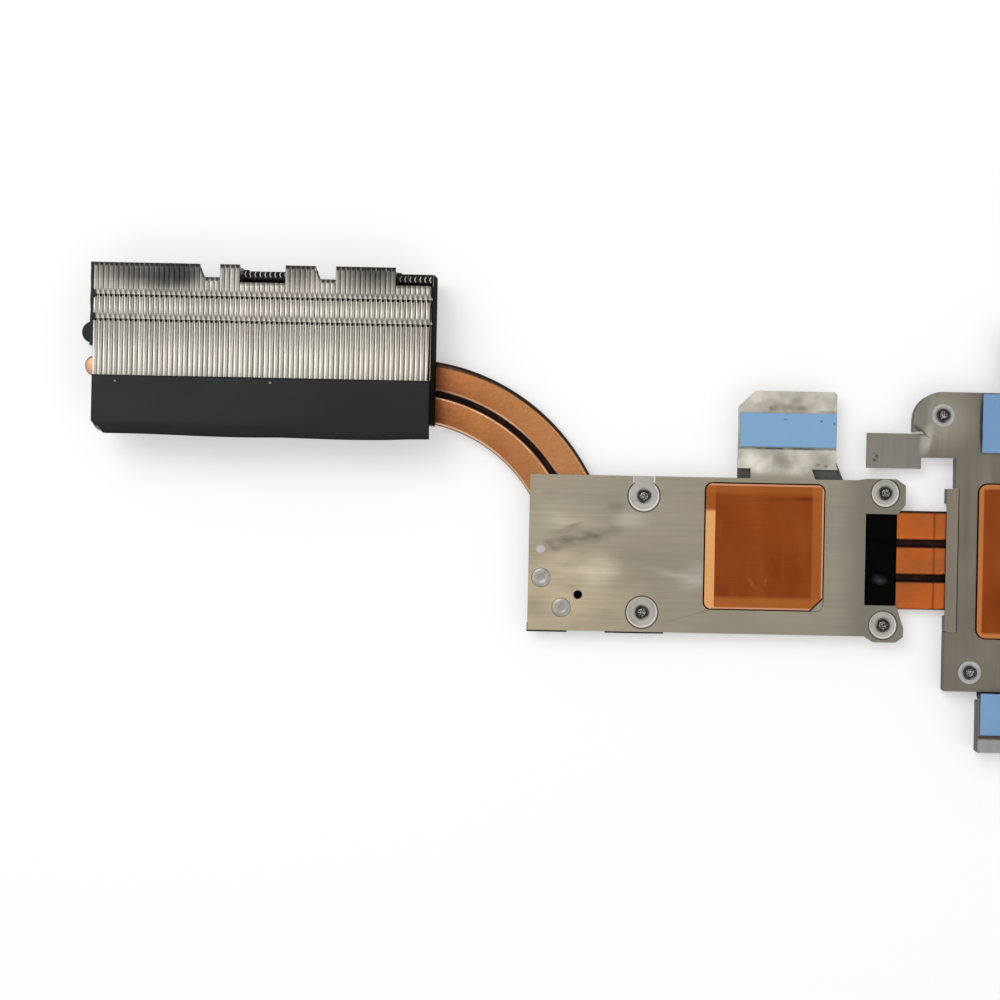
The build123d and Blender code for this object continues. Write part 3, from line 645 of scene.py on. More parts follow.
full = fin_mesh(exhaust_edge, exhaust_edge)
beside = fin_mesh(exhaust_edge, exhaust_edge, under=ramp)
ramped = fin_mesh(exhaust_edge, exhaust_edge, slope=ramp, under=ramp)
notched = fin_mesh(notch_end, notch_end)
mid_stepped = fin_mesh(step_web, step_end, crescent_y=72.6 * mm)
right_stepped = fin_mesh(step_web, step_end, crescent_y=72.0 * mm)
random.seed(12)
first = 0
for name, makers in (
    ("full_left", [(full, 19), (beside, 2)]),
    ("notch_left", [(ramped, 1), (notched, 3)]),
    ("full_mid_left", [(full, 4)]),
    ("step_mid", [(mid_stepped, 9)]),
    ("full_mid_right", [(full, 5), (beside, 1)]),
    ("notch_right", [(ramped, 1), (notched, 3)]),
    ("full_right", [(full, 12)]),
    ("step_right", [(right_stepped, 7)]),
):
    groups = []
    for maker, count in makers:
        changes = []
        for i in range(first, first + count):
            shift = Vector((stack_left + i * fin_pitch + random.uniform(-0.02, 0.02) * mm, 0, 0))
            lean = Matrix.Rotation(radians(random.uniform(-0.12, 0.12)), 4, "Y")
            changes.append((Matrix.Translation(shift) @ lean, random.random()))
        groups.append((maker, changes))
        first += count
    stack = copies(groups, "painted_light")
    for vert in stack.verts:
        vert.co.z = max(vert.co.z, stack_base)
    piece = to_piece(stack, "stack_" + name, fin_metal, "fin_aluminium", "fins_" + name, sharp=60)
    thicken(piece, fin_sheet, -1)
for maker in (full, beside, ramped, notched, mid_stepped, right_stepped):
    maker.free()
end_face = stack_left + first * fin_pitch + 0.22 * mm

# End plate. A plain sheet of the fins' aluminium closes the stack's right end, soldered to the pipes
# like the fins.


def dress(name, finish, rounding=0.0):
    """Gives a node of the frame its finish and, where asked, slightly rounded edges."""
    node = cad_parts[name]
    node.data.materials.clear()
    node.data.materials.append(finish)
    if rounding:
        joined = node.modifiers.new("joined", "WELD")
        joined.merge_threshold = 0.002 * mm
        edges = node.modifiers.new("edges", "BEVEL")
        edges.width = rounding
        edges.segments = 2
        edges.limit_method = "ANGLE"
        edges.angle_limit = radians(35)
        edges.harden_normals = True


dress("fin_end_plate", fin_metal)

# Black films on the stack. Thin black plastic sheet: one over the fan's side of the top, where it hangs
# a little past the fins, one folded over the right end, a thicker strip on the left end and a snug
# cover on the outer pipe's tip.
film_edge = 43.9 * mm
film_low = 27.6 * mm
film_sheet = 0.13 * mm
film_clear = 0.09 * mm
film_corner = 3.3 * mm
lip_share = 0.16
strip_thick = 1.0 * mm
cover_x = -186.9 * mm

film_black = begin("film_black", 0.0, 0.55, 0.22)
far_left = fade("X", -120, -185)
base((0.0045, 0.0048, 0.0045), (0.012, 0.0145, 0.0165), far_left)
# Painted shade on the film where it hangs down past the fins.
overhang = fade("Y", 31.2, 30.4)
lay((0.004, 0.0045, 0.003), overhang, 0.8)
haze = clouds(60, 0.45, 0.8, stretch=(0.6, 1, 1))
lay((0.016, 0.0165, 0.016), haze, 0.45)
lay((0.09, 0.09, 0.085), clouds(2600, 0.70, 0.76), 0.5)
for centre, reach in (((-136.9, 42.5), (0.45, 0.35)), ((-179.4, 42.2), (0.4, 0.3))):
    lay((0.32, 0.32, 0.31), spot(centre, reach))
close(clouds(220, 0.2, 0.8), 0.05 * mm, (0.5, 0.66), haze)


def ripple(x, y, z=0.0):
    return noise.noise(Vector((x, y, z)))


def thin_sheet(name, finish, slot, thickness, columns, rows, shape, *replaced):
    """A sheet whose points shape() places, given 0..1 along and across it."""
    bm = bmesh.new()
    bmesh.ops.create_grid(bm, x_segments=columns, y_segments=rows, size=0.5)
    for vert in bm.verts:
        vert.co = shape(vert.co.x + 0.5, vert.co.y + 0.5)
    face_outward(bm)
    return thicken(to_piece(bm, name, finish, slot, *replaced), thickness, 0)


def top_film(u, w):
    x = stack_left + u * (end_face - stack_left)
    from_left = x - stack_left
    corner_cut = max(0.0, film_corner - from_left)
    wave = ripple(from_left * 35, 0.3)
    low = film_low + corner_cut + (0.35 * wave - 0.25 * sin(u * pi) + 0.25) * mm
    low -= 0.4 * mm * max(0.0, sin((u - 0.55) * 8)) if 0.55 < u < 0.94 else 0
    y = low + w * (film_edge - low)
    out = max(0.0, fan_edge - y)
    sag = 26 * out * out + 0.25 * out * max(0.0, wave)
    lift = 0.05 * mm * ripple(x * 90, y * 160)
    return Vector((x, y, stack_top + 0.075 * mm - sag + min(0.0, lift)))


thin_sheet("stack_film_top", film_black, "black_film", film_sheet, 116, 14, top_film, "film_top")


def side_film(u, w):
    y = fan_edge + u * (step_web - 0.1 * mm - fan_edge)
    top = stack_top if y < step_end else step_level + 0.1 * mm
    wave = ripple(u * 7, 1.7)
    lip = (0.2 + 0.026 * (67 - y / mm) + 0.1 * wave) * mm if film_edge < y < step_end else 0.0
    bulge = (0.12 + 0.12 * wave) * mm * sin(w * pi)
    if w < lip_share:
        return Vector((end_face - lip * (1 if w < lip_share / 2 else 0.4), y, top + film_clear))
    drop = (w - lip_share) / (1 - lip_share)
    return Vector((end_face + film_clear + bulge, y, top + 0.04 * mm - drop * (top - stack_base)))


lip_black = two_tone(
    "lip_black", (0.0, 0.8, 0.03), (0.0035, 0.003, 0.0018), (0.009, 0.008, 0.007), (300, 0.5, 0.8), 0.03 * mm,
)
thin_sheet("stack_film_right", lip_black, "black_film", film_sheet, 64, 13, side_film, "film_side_right")


def curled_corner(u, w):
    turn = w * 2.4
    reach = 0.75 * (0.35 + 0.65 * sin(pi * u))
    out = reach * sin(turn) * 0.707
    return Vector((
        (-185.3 + 2.6 * u - out) * mm, (31.1 - 2.6 * u - out) * mm,
        stack_top - 0.05 * mm - reach * (1 - cos(turn)) * 0.45 * mm,
    ))


# Painted highlight: the curled corner of the top film is coloured light grey.
curl_highlight = two_tone(
    "curl_highlight", (0.0, 0.4, 0.5), (0.05, 0.052, 0.055), (0.34, 0.34, 0.34), (700, 0.4, 0.7),
)
thin_sheet("film_curl", curl_highlight, "black_film", 0.06 * mm, 10, 12, curled_corner)


def block(size, centre):
    """A block to cut and round further."""
    bm = bmesh.new()
    bmesh.ops.create_cube(bm, size=1)
    bmesh.ops.scale(bm, verts=bm.verts, vec=size)
    bmesh.ops.translate(bm, verts=bm.verts, vec=centre)
    return bm


def corner_edges(bm):
    return [edge for edge in bm.edges if edge.calc_face_angle(0) > 1]


bm = block((strip_thick, 22.9 * mm, 11.96 * mm), (stack_left - strip_thick / 2, 63.35 * mm, 4.2 * mm))
bmesh.ops.subdivide_edges(bm, edges=[e for e in bm.edges if e.calc_length() > 20 * mm], cuts=24)
for vert in bm.verts:
    if vert.co.x < stack_left - 0.5 * strip_thick:
        vert.co.x += 0.16 * mm * (1 + ripple(vert.co.y * 300, vert.co.z * 90))
round_off(bm, corner_edges(bm), 0.18 * mm, 3)
for knob_y in (66.1 * mm, 59.9 * mm):
    knob = bmesh.ops.create_uvsphere(bm, u_segments=16, v_segments=10, radius=1)["verts"]
    bmesh.ops.scale(bm, verts=knob, vec=(0.52 * mm, 1.15 * mm, 0.28 * mm))
    bmesh.ops.translate(bm, verts=knob, vec=(stack_left + 0.3 * mm, knob_y, stack_top - 0.14 * mm))
to_piece(bm, "stack_strip_left", film_black, "black_film", "film_side_left")

start = Vector((cover_x, outer_bend.y + (outer_bend.x - cover_x) * tan(lead_turn), pipe_level))
cover_section = (7.86 * mm, 2.34 * mm, 1.05 * mm)
bm = flat_pipe(start, -lead_turn, cover_section, (2.8 * mm, 6.16 * mm), [(0.02 * mm,)], far_end=False)
to_piece(bm, "pipe_end_cover", film_black, "black_film", "film_pipe_end")

# Processor plate. Brushed aluminium sheet, punched out in one piece with its ears and tab, worn to a
# mottled silver on the tab and stained on the left. The screws sit in round pressed recesses.
plate_top = -0.6 * mm
plate_back = -1.8 * mm
cpu_holes = ((-33.9, 13.6), (-33.9, -19.0))
ear_holes = ((33.7, 15.7), (33.7, -21.3))

cpu_metal = begin("cpu_plate_aluminium", 0.7, 0.4)
base((0.275, 0.238, 0.172), (0.262, 0.236, 0.182), fade("X", -20, 20))
lay((0.335, 0.295, 0.222), clouds(55, 0.4, 0.7, stretch=(0.5, 1, 1)), 0.55)
lay((0.155, 0.14, 0.11), fade("X", 20, 27), 0.75)
marks((
    ((0.50, 0.40, 0.26), (-58, -17), (32, 21), -18, 0.95),
    ((0.46, 0.41, 0.29), (-56, 6.5), (15, 6.5), 8, 0.75),
    ((0.30, 0.29, 0.19), (-63, 7), (5, 13), 0, 0.6),
    ((0.235, 0.22, 0.17), (-44, 12), (14, 8), 10, 0.55),
    ((0.52, 0.49, 0.37), (-37, 6.8), (6.5, 3), 4, 0.7, 0.7),
    ((0.50, 0.47, 0.40), (-19.6, -8.8), (4.5, 6), -60, 0.6),
    ((0.60, 0.53, 0.38), (-46.5, -8.0), (8, 7), 20, 0.8),
    ((0.62, 0.52, 0.36), (-55, -6.5), (9, 5), 0, 0.6),
    ((0.48, 0.46, 0.41), (-24, -8.5), (10, 1.6), -12, 0.6),
    ((0.20, 0.185, 0.15), (-29, -5.5), (14, 3), -12, 0.35, 0.9),
), clouds(150, 0.2, 0.6, stretch=(0.5, 1, 1)))
rub_dark = (0.13, 0.115, 0.085)
marks((
    (rub_dark, (-48.0, 2.2), (11, 2.4), 13, 1.0, 0.9),
    (rub_dark, (-56.0, 0.4), (7, 2.2), 14, 0.9, 0.9),
    (rub_dark, (-59.5, -0.6), (3.4, 1.8), -35, 0.9, 0.9),
    (rub_dark, (-56.0, 3.4), (8, 2.0), 8, 0.6, 0.9),
    (rub_dark, (-49.5, 1.9), (6.5, 1.2), 12, 0.8, 0.9),
    (rub_dark, (-53.5, 5.0), (4, 0.8), 20, 0.5, 0.9),
    (rub_dark, (-41.5, 10.8), (3.5, 1.8), 10, 0.5, 0.9),
    (rub_dark, (-60, 14.5), (3, 1.2), 15, 0.4, 0.9),
), clouds(420, 0.25, 0.6, stretch=(0.35, 1, 1), turn=12))
brushed = clouds(900, 0.3, 0.7, stretch=(0.04, 1, 1))
lay((0.17, 0.155, 0.125), brushed, 0.3)
lay((0.42, 0.41, 0.42), spot((-62.6, -1.8), (1.5, 1.3), 0, 0.4))
plate_colour = making["colour"]

mottled = clouds(160, 0.35, 0.65)
base((0.32, 0.30, 0.25), (0.56, 0.53, 0.45), mottled)
marks((
    ((0.15, 0.11, 0.065), (2.4, 39.0), (6.0, 2.4), -8, 0.9),
    ((0.17, 0.125, 0.07), (9, 38.9), (6, 1.2), 0, 0.6),
    # Painted shadow under the lower edge of the tab's pad.
    ((0.03, 0.03, 0.03), (6.1, 27.6), (30, 0.42), 0, 1.0),
    ((0.62, 0.60, 0.55), (-4, 24.3), (3.2, 4.5), 20, 0.9),
    ((0.14, 0.12, 0.08), (4.5, 24.5), (4.5, 3.0), -50, 0.6),
    ((0.12, 0.10, 0.07), (14.6, 23.2), (0.9, 0.6), 0, 0.9),
    ((0.10, 0.08, 0.05), (16.8, 22.9), (0.8, 0.6), 0, 1.0),
    ((0.68, 0.64, 0.56), (-3.0, 22.6), (3.4, 3.6), 30, 0.9),
    ((0.10, 0.09, 0.07), (17.5, 38.1), (3.5, 0.5), 0, 0.7),
), clouds(330, 0.2, 0.6))
base(plate_colour, making["colour"], fade("Y", 19.4, 21.5))

recess_silver = mix((0.285, 0.275, 0.24), (0.40, 0.39, 0.345), mottled)
keyhole = fade("Y", 14, 14.2)
lay((0.62, 0.60, 0.56), band("X", -36.9, -30.9, 0.15), keyhole, 0.9)
for hole, ring, face in (
    (cpu_holes[0], 4.8, 4.35), (cpu_holes[1], 4.85, 4.4),
    (ear_holes[0], 4.2, 3.85), (ear_holes[1], 4.2, 3.85),
):
    # Painted shade ring along the wall of each recess.
    lay((0.07, 0.06, 0.05), disc(hole, ring, 0.05), 0.85)
    lay((0.62, 0.60, 0.55), disc(hole, face, 0.05))
    inner = spot((hole[0] - 0.1, hole[1] + 0.2), (face - 0.3, face - 0.25), 0, 0.05)
    lay(recess_silver, inner)
lay(recess_silver, band("X", -36.5, -31.3, 0.12), keyhole)
for hole in (*cpu_holes, *ear_holes):
    worn = disc((hole[0] + 0.2, hole[1] - 0.1), 3.3, 0.12)
    lay((0.40, 0.39, 0.36), worn, 0.5)
    # Painted shade round each screw and its clip.
    lay((0.06, 0.055, 0.05), disc(hole, 2.6, 0.4), 0.8)
# Painted shade on the plate's upright edges.
sides((0.05, 0.046, 0.04), 0.6, 0.2)
close(brushed, 0.02 * mm, (0.34, 0.48))
dress("cpu_plate", cpu_metal, 0.12 * mm)

# Tab brace. A sheet under the plate's edge that stiffens the neck of the tab, painted dark for the shade it
# lies in. It is soldered to the plate's back.
brace_painted_shade = two_tone(
    "brace_painted_shade", (0.2, 0.5, 0.4), (0.035, 0.036, 0.032), (0.075, 0.078, 0.068), (200, 0.35, 0.7), 0.04 * mm,
)
dress("tab_brace", brace_painted_shade, 0.08 * mm)

# Processor's cold plate. A copper block through the plate's window, milled flat with rounded rims that carry
# a painted highlight, dark from heat in the middle. A dark ring of painted shade fills the gap round it; the
# window follows its cut corner.
block_gap = 0.35 * mm


def start_copper(name, darkest, veil_turn):
    """Copper, browned by heat in clouds, with paler veils across it."""
    copper = begin(name, 0.95, 0.4)
    base((0.225, 0.048, 0.008), darkest, clouds(40, 0.35, 0.7))
    veils = clouds(120, 0.45, 0.75, stretch=(1, 0.35, 1), turn=veil_turn)
    lay((0.27, 0.072, 0.018), veils, 0.5)
    return copper


def end_copper(rim_highlight):
    """Painted highlight on the rounded rims, and a finely lapped face."""
    level = levelness()
    lay(rim_highlight, times(spread(level, 0.99, 0.93), spread(level, 0.5, 0.7)), 0.85)
    close(clouds(1400, 0.3, 0.7, stretch=(0.1, 1, 1)), 0.02 * mm, (0.34, 0.5))


block_copper = start_copper("block_copper", (0.165, 0.030, 0.004), 30)
marks((
    ((0.10, 0.022, 0.006), (11.5, 13.6), (4.8, 0.9), 0, 0.8),
    ((0.14, 0.035, 0.01), (3, 13.2), (7, 0.7), 2, 0.6),
    ((0.42, 0.16, 0.07), (-3.5, -10), (0.8, 2.6), 30, 0.25),
    ((0.40, 0.15, 0.06), (0.5, -9.5), (0.4, 2.2), -8, 0.25),
    ((0.13, 0.03, 0.008), (-11.5, -12.5), (2.2, 2.4), 0, 0.6),
))
hairlines = clouds(500, 0.66, 0.7, stretch=(1, 0.05, 1), turn=35, detail=2)
lay((0.42, 0.17, 0.07), hairlines, 0.12)
for axis, low, high, soft, amount in (
    ("Y", -30, -14.9, 1.2, 0.8), ("X", 13.6, 20, 0.6, 0.65), ("Y", 15.6, 30, 1.6, 0.5),
):
    lay((0.335, 0.104, 0.022), band(axis, low, high, soft), amount)
left_edge = band("X", -20, -13.9, 0.15)
lay((0.62, 0.31, 0.115), left_edge, fade("Y", 10.6, 9.6), 0.95)
lay((0.335, 0.104, 0.024), left_edge, fade("Y", 9.6, 10.6), 0.5)
# Painted highlight lines along the block's top, right and bottom rims.
for axis, low, high in (("Y", 17.05, 18), ("X", 16.1, 17), ("Y", -18, -17.1)):
    lay((0.60, 0.30, 0.17), band(axis, low, high, 0.12), 0.7)
end_copper((0.72, 0.39, 0.2))
dress("cpu_cold_plate", block_copper, 0.3 * mm)


def rounded_loop(bm, centre, size, corner, cut=0.0):
    """A flat loop of edges round a rectangle. cut is the straight cut of its lower right corner."""
    sheet = bmesh.new()
    square = []
    for side, end in ((-1, -1), (1, -1), (1, 1), (-1, 1)):
        reach = Vector((side * size[0] / 2, end * size[1] / 2, 0))
        square.append(sheet.verts.new(Vector(centre) + reach))
    sheet.faces.new(square)
    round_off(sheet, [v for i, v in enumerate(square) if i != 1 or not cut], corner, 6, "VERTICES")
    if cut:
        round_off(sheet, [square[1]], cut, 1, "VERTICES")
    face = max(sheet.faces, key=lambda f: len(f.verts))
    ring = [bm.verts.new(vert.co) for vert in face.verts]
    sheet.free()
    return [bm.edges.new(pair) for pair in zip(ring, ring[1:] + ring[:1])]


def window_gap_shade(name, centre, side, corner, cut=0.0):
    """A dark ring of painted shade in the gap round a block of this side, all in millimetres."""
    bm = bmesh.new()
    middle = (centre[0] * mm, centre[1] * mm, -0.95 * mm)
    size = (side[0] * mm, side[1] * mm)
    window = (size[0] + 2 * block_gap, size[1] + 2 * block_gap)
    outer = rounded_loop(bm, middle, window, corner * mm + block_gap)
    inner = rounded_loop(bm, middle, size, corner * mm, cut * mm)
    bmesh.ops.bridge_loops(bm, edges=outer + inner)
    face_outward(bm)
    bmesh.ops.reverse_faces(bm, faces=[face for face in bm.faces if face.normal.z < 0])
    thicken(to_piece(bm, name, gap_shade_dark, "black_film"), 0.8 * mm, -1)


window_gap_shade("cpu_window_gap_shade", (0, 0), (33, 35), 1.8, 3.6)

filled_low = -1.4 * mm
filled_top = plate_top - 0.03 * mm
round_x, round_y, round_r = 14.7, -15.7, 2.1
turns = [radians(-15 * i) for i in range(7)]
arc = [(round_x + round_r * cos(turn), round_y + round_r * sin(turn)) for turn in turns]
bm = bmesh.new()
filled = [bm.verts.new((x * mm, y * mm, filled_low)) for x, y in [(16.8, -14.2), *arc, (13.2, -17.8)]]
raised = bmesh.ops.extrude_face_region(bm, geom=[bm.faces.new(filled)])["geom"]
bmesh.ops.translate(bm, verts=verts_of(raised), vec=(0, 0, filled_top - filled_low))
face_outward(bm)
rims = [edge for edge in bm.edges if all(vert.co.z > -1.2 * mm for vert in edge.verts)]
round_off(bm, rims, 0.1 * mm, 2)
to_piece(bm, "window_corner", cpu_metal, "plate_aluminium")

# Soft pads. Slabs of blue silicone that carry heat from the chips beside the processors, cut with a
# knife and pressed on to the tab and the graphics plate, with a few specks of dirt.
pad_blue = begin("pad_blue", 0.0, 0.62, 0.3)
base((0.195, 0.365, 0.60), (0.235, 0.42, 0.665), clouds(90, 0.3, 0.7))
lay((0.27, 0.48, 0.72), fade("X", 40, 30), 0.7)
grain = clouds(3500, 0.55, 0.75)
lay((0.15, 0.28, 0.47), grain, 0.25)
for centre, reach in (
    ((15.3, 35.4), (0.6, 0.5)), ((18.9, 34.8), (0.4, 0.6)), ((5.2, 35.7), (0.9, 0.25)),
    ((71.5, 40.8), (0.4, 0.35)), ((93.0, 31.2), (0.45, 0.35)), ((83.0, -47.2), (0.4, 0.4)),
):
    lay((0.05, 0.09, 0.17), spot(centre, reach, 0, 0.7), 0.75)
# Painted shade on the pads' sides.
sides((0.09, 0.17, 0.29), 0.8, 0.3)
close(grain, 0.03 * mm)


def soft_slab(name, node, longer=0.0):
    """A slab as large as its node, and longer along Y, with uneven sides and top."""
    low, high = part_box(node)
    high = Vector(high) + Vector((0, longer, 0))
    size = [high[i] - low[i] for i in range(3)]
    bm = block(size, [(high[i] + low[i]) / 2 for i in range(3)])
    for axis in (0, 1):
        long_edges = [e for e in bm.edges if abs((e.verts[0].co - e.verts[1].co)[axis]) > 2 * mm]
        cuts = round(size[axis] / (1.2 * mm))
        bmesh.ops.subdivide_edges(bm, edges=long_edges, cuts=cuts, use_grid_fill=True)
    for vert in bm.verts:
        for axis in (0, 1):
            inward = (low[axis] + high[axis]) / 2 - vert.co[axis]
            if abs(abs(inward) - size[axis] / 2) < 1e-6:
                ragged = 0.5 + 0.5 * ripple(vert.co.x * 300, vert.co.y * 300, axis * 9)
                vert.co[axis] += copysign(0.16 * mm * max(0.0, ragged), inward)
        if vert.co.z > high[2] - 1e-6:
            vert.co.z -= 0.07 * mm * (1 + ripple(vert.co.x * 180, vert.co.y * 180, 3))
    round_off(bm, corner_edges(bm), 0.22 * mm, 3)
    to_piece(bm, name, pad_blue, "blue_pad", node, sharp=60)


soft_slab("tab_pad", "tab_soft_pad")
soft_slab("graphics_pad", "gpu_soft_pad")
soft_slab("bracket_pad", "bracket_soft_pad", 1.6 * mm)

# Rivets. Two soft aluminium rivets near the plate's lower left corner, clinched flat from the front,
# each with a small dimple.
rivet_spots = ((-62.3, -9.8), (-56.5, -18.1))


def lathe(profile, steps=28):
    """A full spin of (radius, height) points, in millimetres, round the Z axis."""
    bm = bmesh.new()
    line = [bm.verts.new((r * mm, 0, z * mm)) for r, z in profile]
    edges = [bm.edges.new(pair) for pair in zip(line, line[1:])]
    spin(bm, line + edges, 2 * pi, steps, use_merge=True)
    bmesh.ops.remove_doubles(bm, verts=bm.verts, dist=same_place)
    face_outward(bm)
    return bm


def set_at(name, maker, spots, level, finish, slot, node, seed, sharp=40):
    """One piece of copies of the maker at spots, each turned its own way."""
    random.seed(seed)
    changes = []
    for x, y in spots:
        turn = Matrix.Rotation(random.uniform(0, 2 * pi), 4, "Z")
        changes.append((Matrix.Translation((x * mm, y * mm, level)) @ turn, random.random()))
    to_piece(copies([(maker, changes)]), name, finish, slot, node, sharp=sharp)
    maker.free()


rivet_metal = begin("rivet_metal", 0.75, 0.38)
mottled = clouds(500, 0.3, 0.7)
base((0.25, 0.235, 0.195), (0.37, 0.355, 0.315), mottled)
for dimple in rivet_spots:
    lay((0.26, 0.25, 0.265), disc(dimple, 1.15, 0.4), 0.8)
# Painted shade on the rivets' sloping rims.
sides((0.06, 0.055, 0.045), 0.93, 0.7)
close(mottled, 0.05 * mm)
rivet = lathe((
    (0, 0.13), (0.75, 0.12), (1.1, 0.16), (1.3, 0.24), (1.7, 0.25), (2.1, 0.23), (2.45, 0.16), (2.68, 0.06),
    (2.72, 0.0), (2.72, -0.04), (0, -0.04),
), 32)
set_at("plate_rivets", rivet, rivet_spots, plate_top, rivet_metal, "rivet_aluminium", "clinch_rivets", 5)

# Tape and edge film. Black tape lies over the three pipes in the plate's right notch and sinks a little
# between them. Black film behind the plate closes its locating hole and shows below its lower edge.
tape_sink = 0.5 * mm
tape_x = (28.42 * mm, 37.25 * mm)
tape_y = (-15.72 * mm, 9.82 * mm)
edge_left, edge_length = -66.15, 38.4
edge_gap = (-54.9 * mm, -44.5 * mm)
edge_low, edge_gap_low, edge_high = -25.0, -24.1, -22.4
backing_left, backing_low, backing_size = -60, -22.3, (16, 12.2)
behind_plate = plate_back - 0.09 * mm
back_sheet = 0.12 * mm

tape_black = begin("tape_black", 0.0, 0.7, 0.02)
base((0.0008, 0.0008, 0.0008), (0.0022, 0.0022, 0.0022), clouds(120, 0.4, 0.7))
ragged = clouds(500, 0.2, 0.7)
# Painted reflection: a soft grey patch on the lower part of the tape.
lay((0.06, 0.06, 0.06), spot((32.6, -8.6), (2.6, 1.7), -15, 1.0), ragged)
close(ragged, 0.03 * mm)


def tape(u, w):
    x = tape_x[0] + u * (tape_x[1] - tape_x[0])
    y = tape_y[0] + w * (tape_y[1] - tape_y[0])
    off_pipes = min(abs(y - lane) for lane in lane_ys) - 3.3 * mm
    sink = min(1.0, max(0.0, off_pipes) / (1.6 * mm))
    rough = 0.02 * mm * ripple(x * 300, y * 300)
    return Vector((x, y, plate_back + 0.09 * mm - tape_sink * sink ** 2 + rough))


def edge_strip(u, w):
    x = (edge_left + u * edge_length) * mm
    low = edge_gap_low if edge_gap[0] <= x <= edge_gap[1] else edge_low
    low += 0.12 * ripple(x * 120, 0)
    return Vector((x, (max(edge_low, low) + w * (edge_high - low)) * mm, behind_plate))


def hole_backing(u, w):
    x = (backing_left + u * backing_size[0]) * mm
    return Vector((x, (backing_low + w * backing_size[1]) * mm, behind_plate))


thin_sheet("pipe_tape_piece", tape_black, "black_film", 0.1 * mm, 8, 72, tape, "pipe_tape")
thin_sheet("edge_film_piece", film_black, "black_film", back_sheet, 96, 3, edge_strip, "edge_film")
thin_sheet("hole_backing", tape_black, "black_film", back_sheet, 4, 4, hole_backing)

# Captive screws. Bright steel screws come up through each plate from behind, turned thin in the middle,
# with a threaded tip. A spring pushes each head back, and a black spring clip keeps it in the plate.
gpu_holes = ((49.4, 37.8), (58.2, -34.0), (108.0, 37.8), (106.0, -34.0))
cpu_seat = -1.0 * mm
gpu_seat = -0.3 * mm
head_level = -5.2 * mm
head_thick = 1.2
recess_half = 0.3 * mm
recess_reach = 1.5 * mm
recess_deep = 0.6 * mm
wire = 0.2 * mm
coil_radius = 1.75 * mm

screw_steel = begin("screw_steel", 0.9, 0.3)
turned = clouds(700, 0.3, 0.7)
base((0.30, 0.30, 0.30), (0.55, 0.55, 0.54), turned)
# Painted shade on the screws' upright faces.
sides((0.08, 0.08, 0.08), 0.85, 0.35)
pits = clouds(2500, 0.38, 0.52)
front = fade("Z", -1.5, -1.0)
lay((0.010, 0.010, 0.010), pits, front, 0.92)
close(turned, 0.02 * mm, (0.22, 0.4))


def screw_mesh(seat):
    """A screw whose head ends at z = 0 and whose tip stands 1.85 mm over its seat."""
    shoulder = (seat - head_level) / mm + 0.6
    tip = shoulder + 1.25
    profile = [
        (0, -head_thick), (2.45, -head_thick), (2.62, -1.12), (2.7, -0.95), (2.7, -0.2), (2.6, -0.06),
        (2.45, 0), (1.12, 0), (1.12, shoulder - 0.05), (1.05, shoulder),
    ]
    turn = shoulder + 0.08
    while turn < tip - 0.3:
        profile += [(0.84, turn), (0.99, turn + 0.11), (0.99, turn + 0.15)]
        turn += 0.26
    profile += [(0.84, tip - 0.22), (0.72, tip - 0.08), (0.4, tip), (0, tip)]
    bm = lathe(profile, 28)

    def head_faces():
        return [
            face for face in bm.faces
            if face.normal.z < -0.99 and face.calc_center_median().z < (0.05 - head_thick) * mm
        ]

    bmesh.ops.dissolve_faces(bm, faces=head_faces())
    for axis, normal in ((0, (1, 0, 0)), (1, (0, 1, 0))):
        for cut in (-recess_reach, -recess_half, recess_half, recess_reach):
            flat = head_faces()
            rims = dict.fromkeys(edge for face in flat for edge in face.edges)
            points = dict.fromkeys(vert for face in flat for vert in face.verts)
            through = [cut if i == axis else 0 for i in range(3)]
            bmesh.ops.bisect_plane(
                bm, geom=[*flat, *rims, *points], plane_co=through, plane_no=normal, dist=1e-7,
            )
    cross = []
    for face in head_faces():
        middle = face.calc_center_median()
        near, far = sorted((abs(middle.x), abs(middle.y)))
        if near < recess_half and far < recess_reach:
            cross.append(face)
    sunk = bmesh.ops.extrude_face_region(bm, geom=cross)["geom"]
    bmesh.ops.translate(bm, verts=verts_of(sunk), vec=(0, 0, recess_deep))
    bmesh.ops.delete(bm, geom=cross, context="FACES_ONLY")
    face_outward(bm)
    return bm


def spring_mesh():
    """Round wire, wound from z = 0 up to the plate's back."""
    rise = plate_back - head_level - 2 * wire - 0.1 * mm
    turns = 2.6
    steps = 48
    bm = bmesh.new()
    made = bmesh.ops.create_circle(bm, cap_ends=True, segments=8, radius=wire)["verts"]
    bmesh.ops.rotate(bm, verts=made, cent=(0, 0, 0), matrix=Matrix.Rotation(pi / 2, 3, "X"))
    bmesh.ops.translate(bm, verts=made, vec=(coil_radius, 0, wire + 0.05 * mm))
    spin(bm, [*bm.faces, *bm.edges, *made], turns * 2 * pi, steps, dvec=(0, 0, rise / steps))
    face_outward(bm)
    return bm


def clip_mesh():
    """A C of black spring steel, open for 50 degrees, with three shallow waves in its outside."""
    bm = bmesh.new()
    section = ((1.2, 0.02), (1.98, 0.02), (1.98, 0.48), (1.2, 0.48))
    ring = [bm.verts.new((r * mm, 0, z * mm)) for r, z in section]
    bm.faces.new(ring)
    spin(bm, [*bm.faces, *bm.edges, *ring], radians(310), 30)
    face_outward(bm)
    for vert in bm.verts:
        angle = atan2(vert.co.y, vert.co.x)
        outside = hypot(vert.co.x, vert.co.y) > 1.6 * mm
        wave = 1 - 0.1 * (0.5 + 0.5 * cos(3 * angle + 1)) if outside else 1
        vert.co.x *= wave
        vert.co.y *= wave
    round_off(bm, corner_edges(bm), 0.09 * mm, 2)
    return bm


clip_black = two_tone(
    "clip_black", (0.4, 0.35, 0.4), (0.006, 0.006, 0.006), (0.06, 0.06, 0.06), (900, 0.35, 0.75), 0.05 * mm,
)

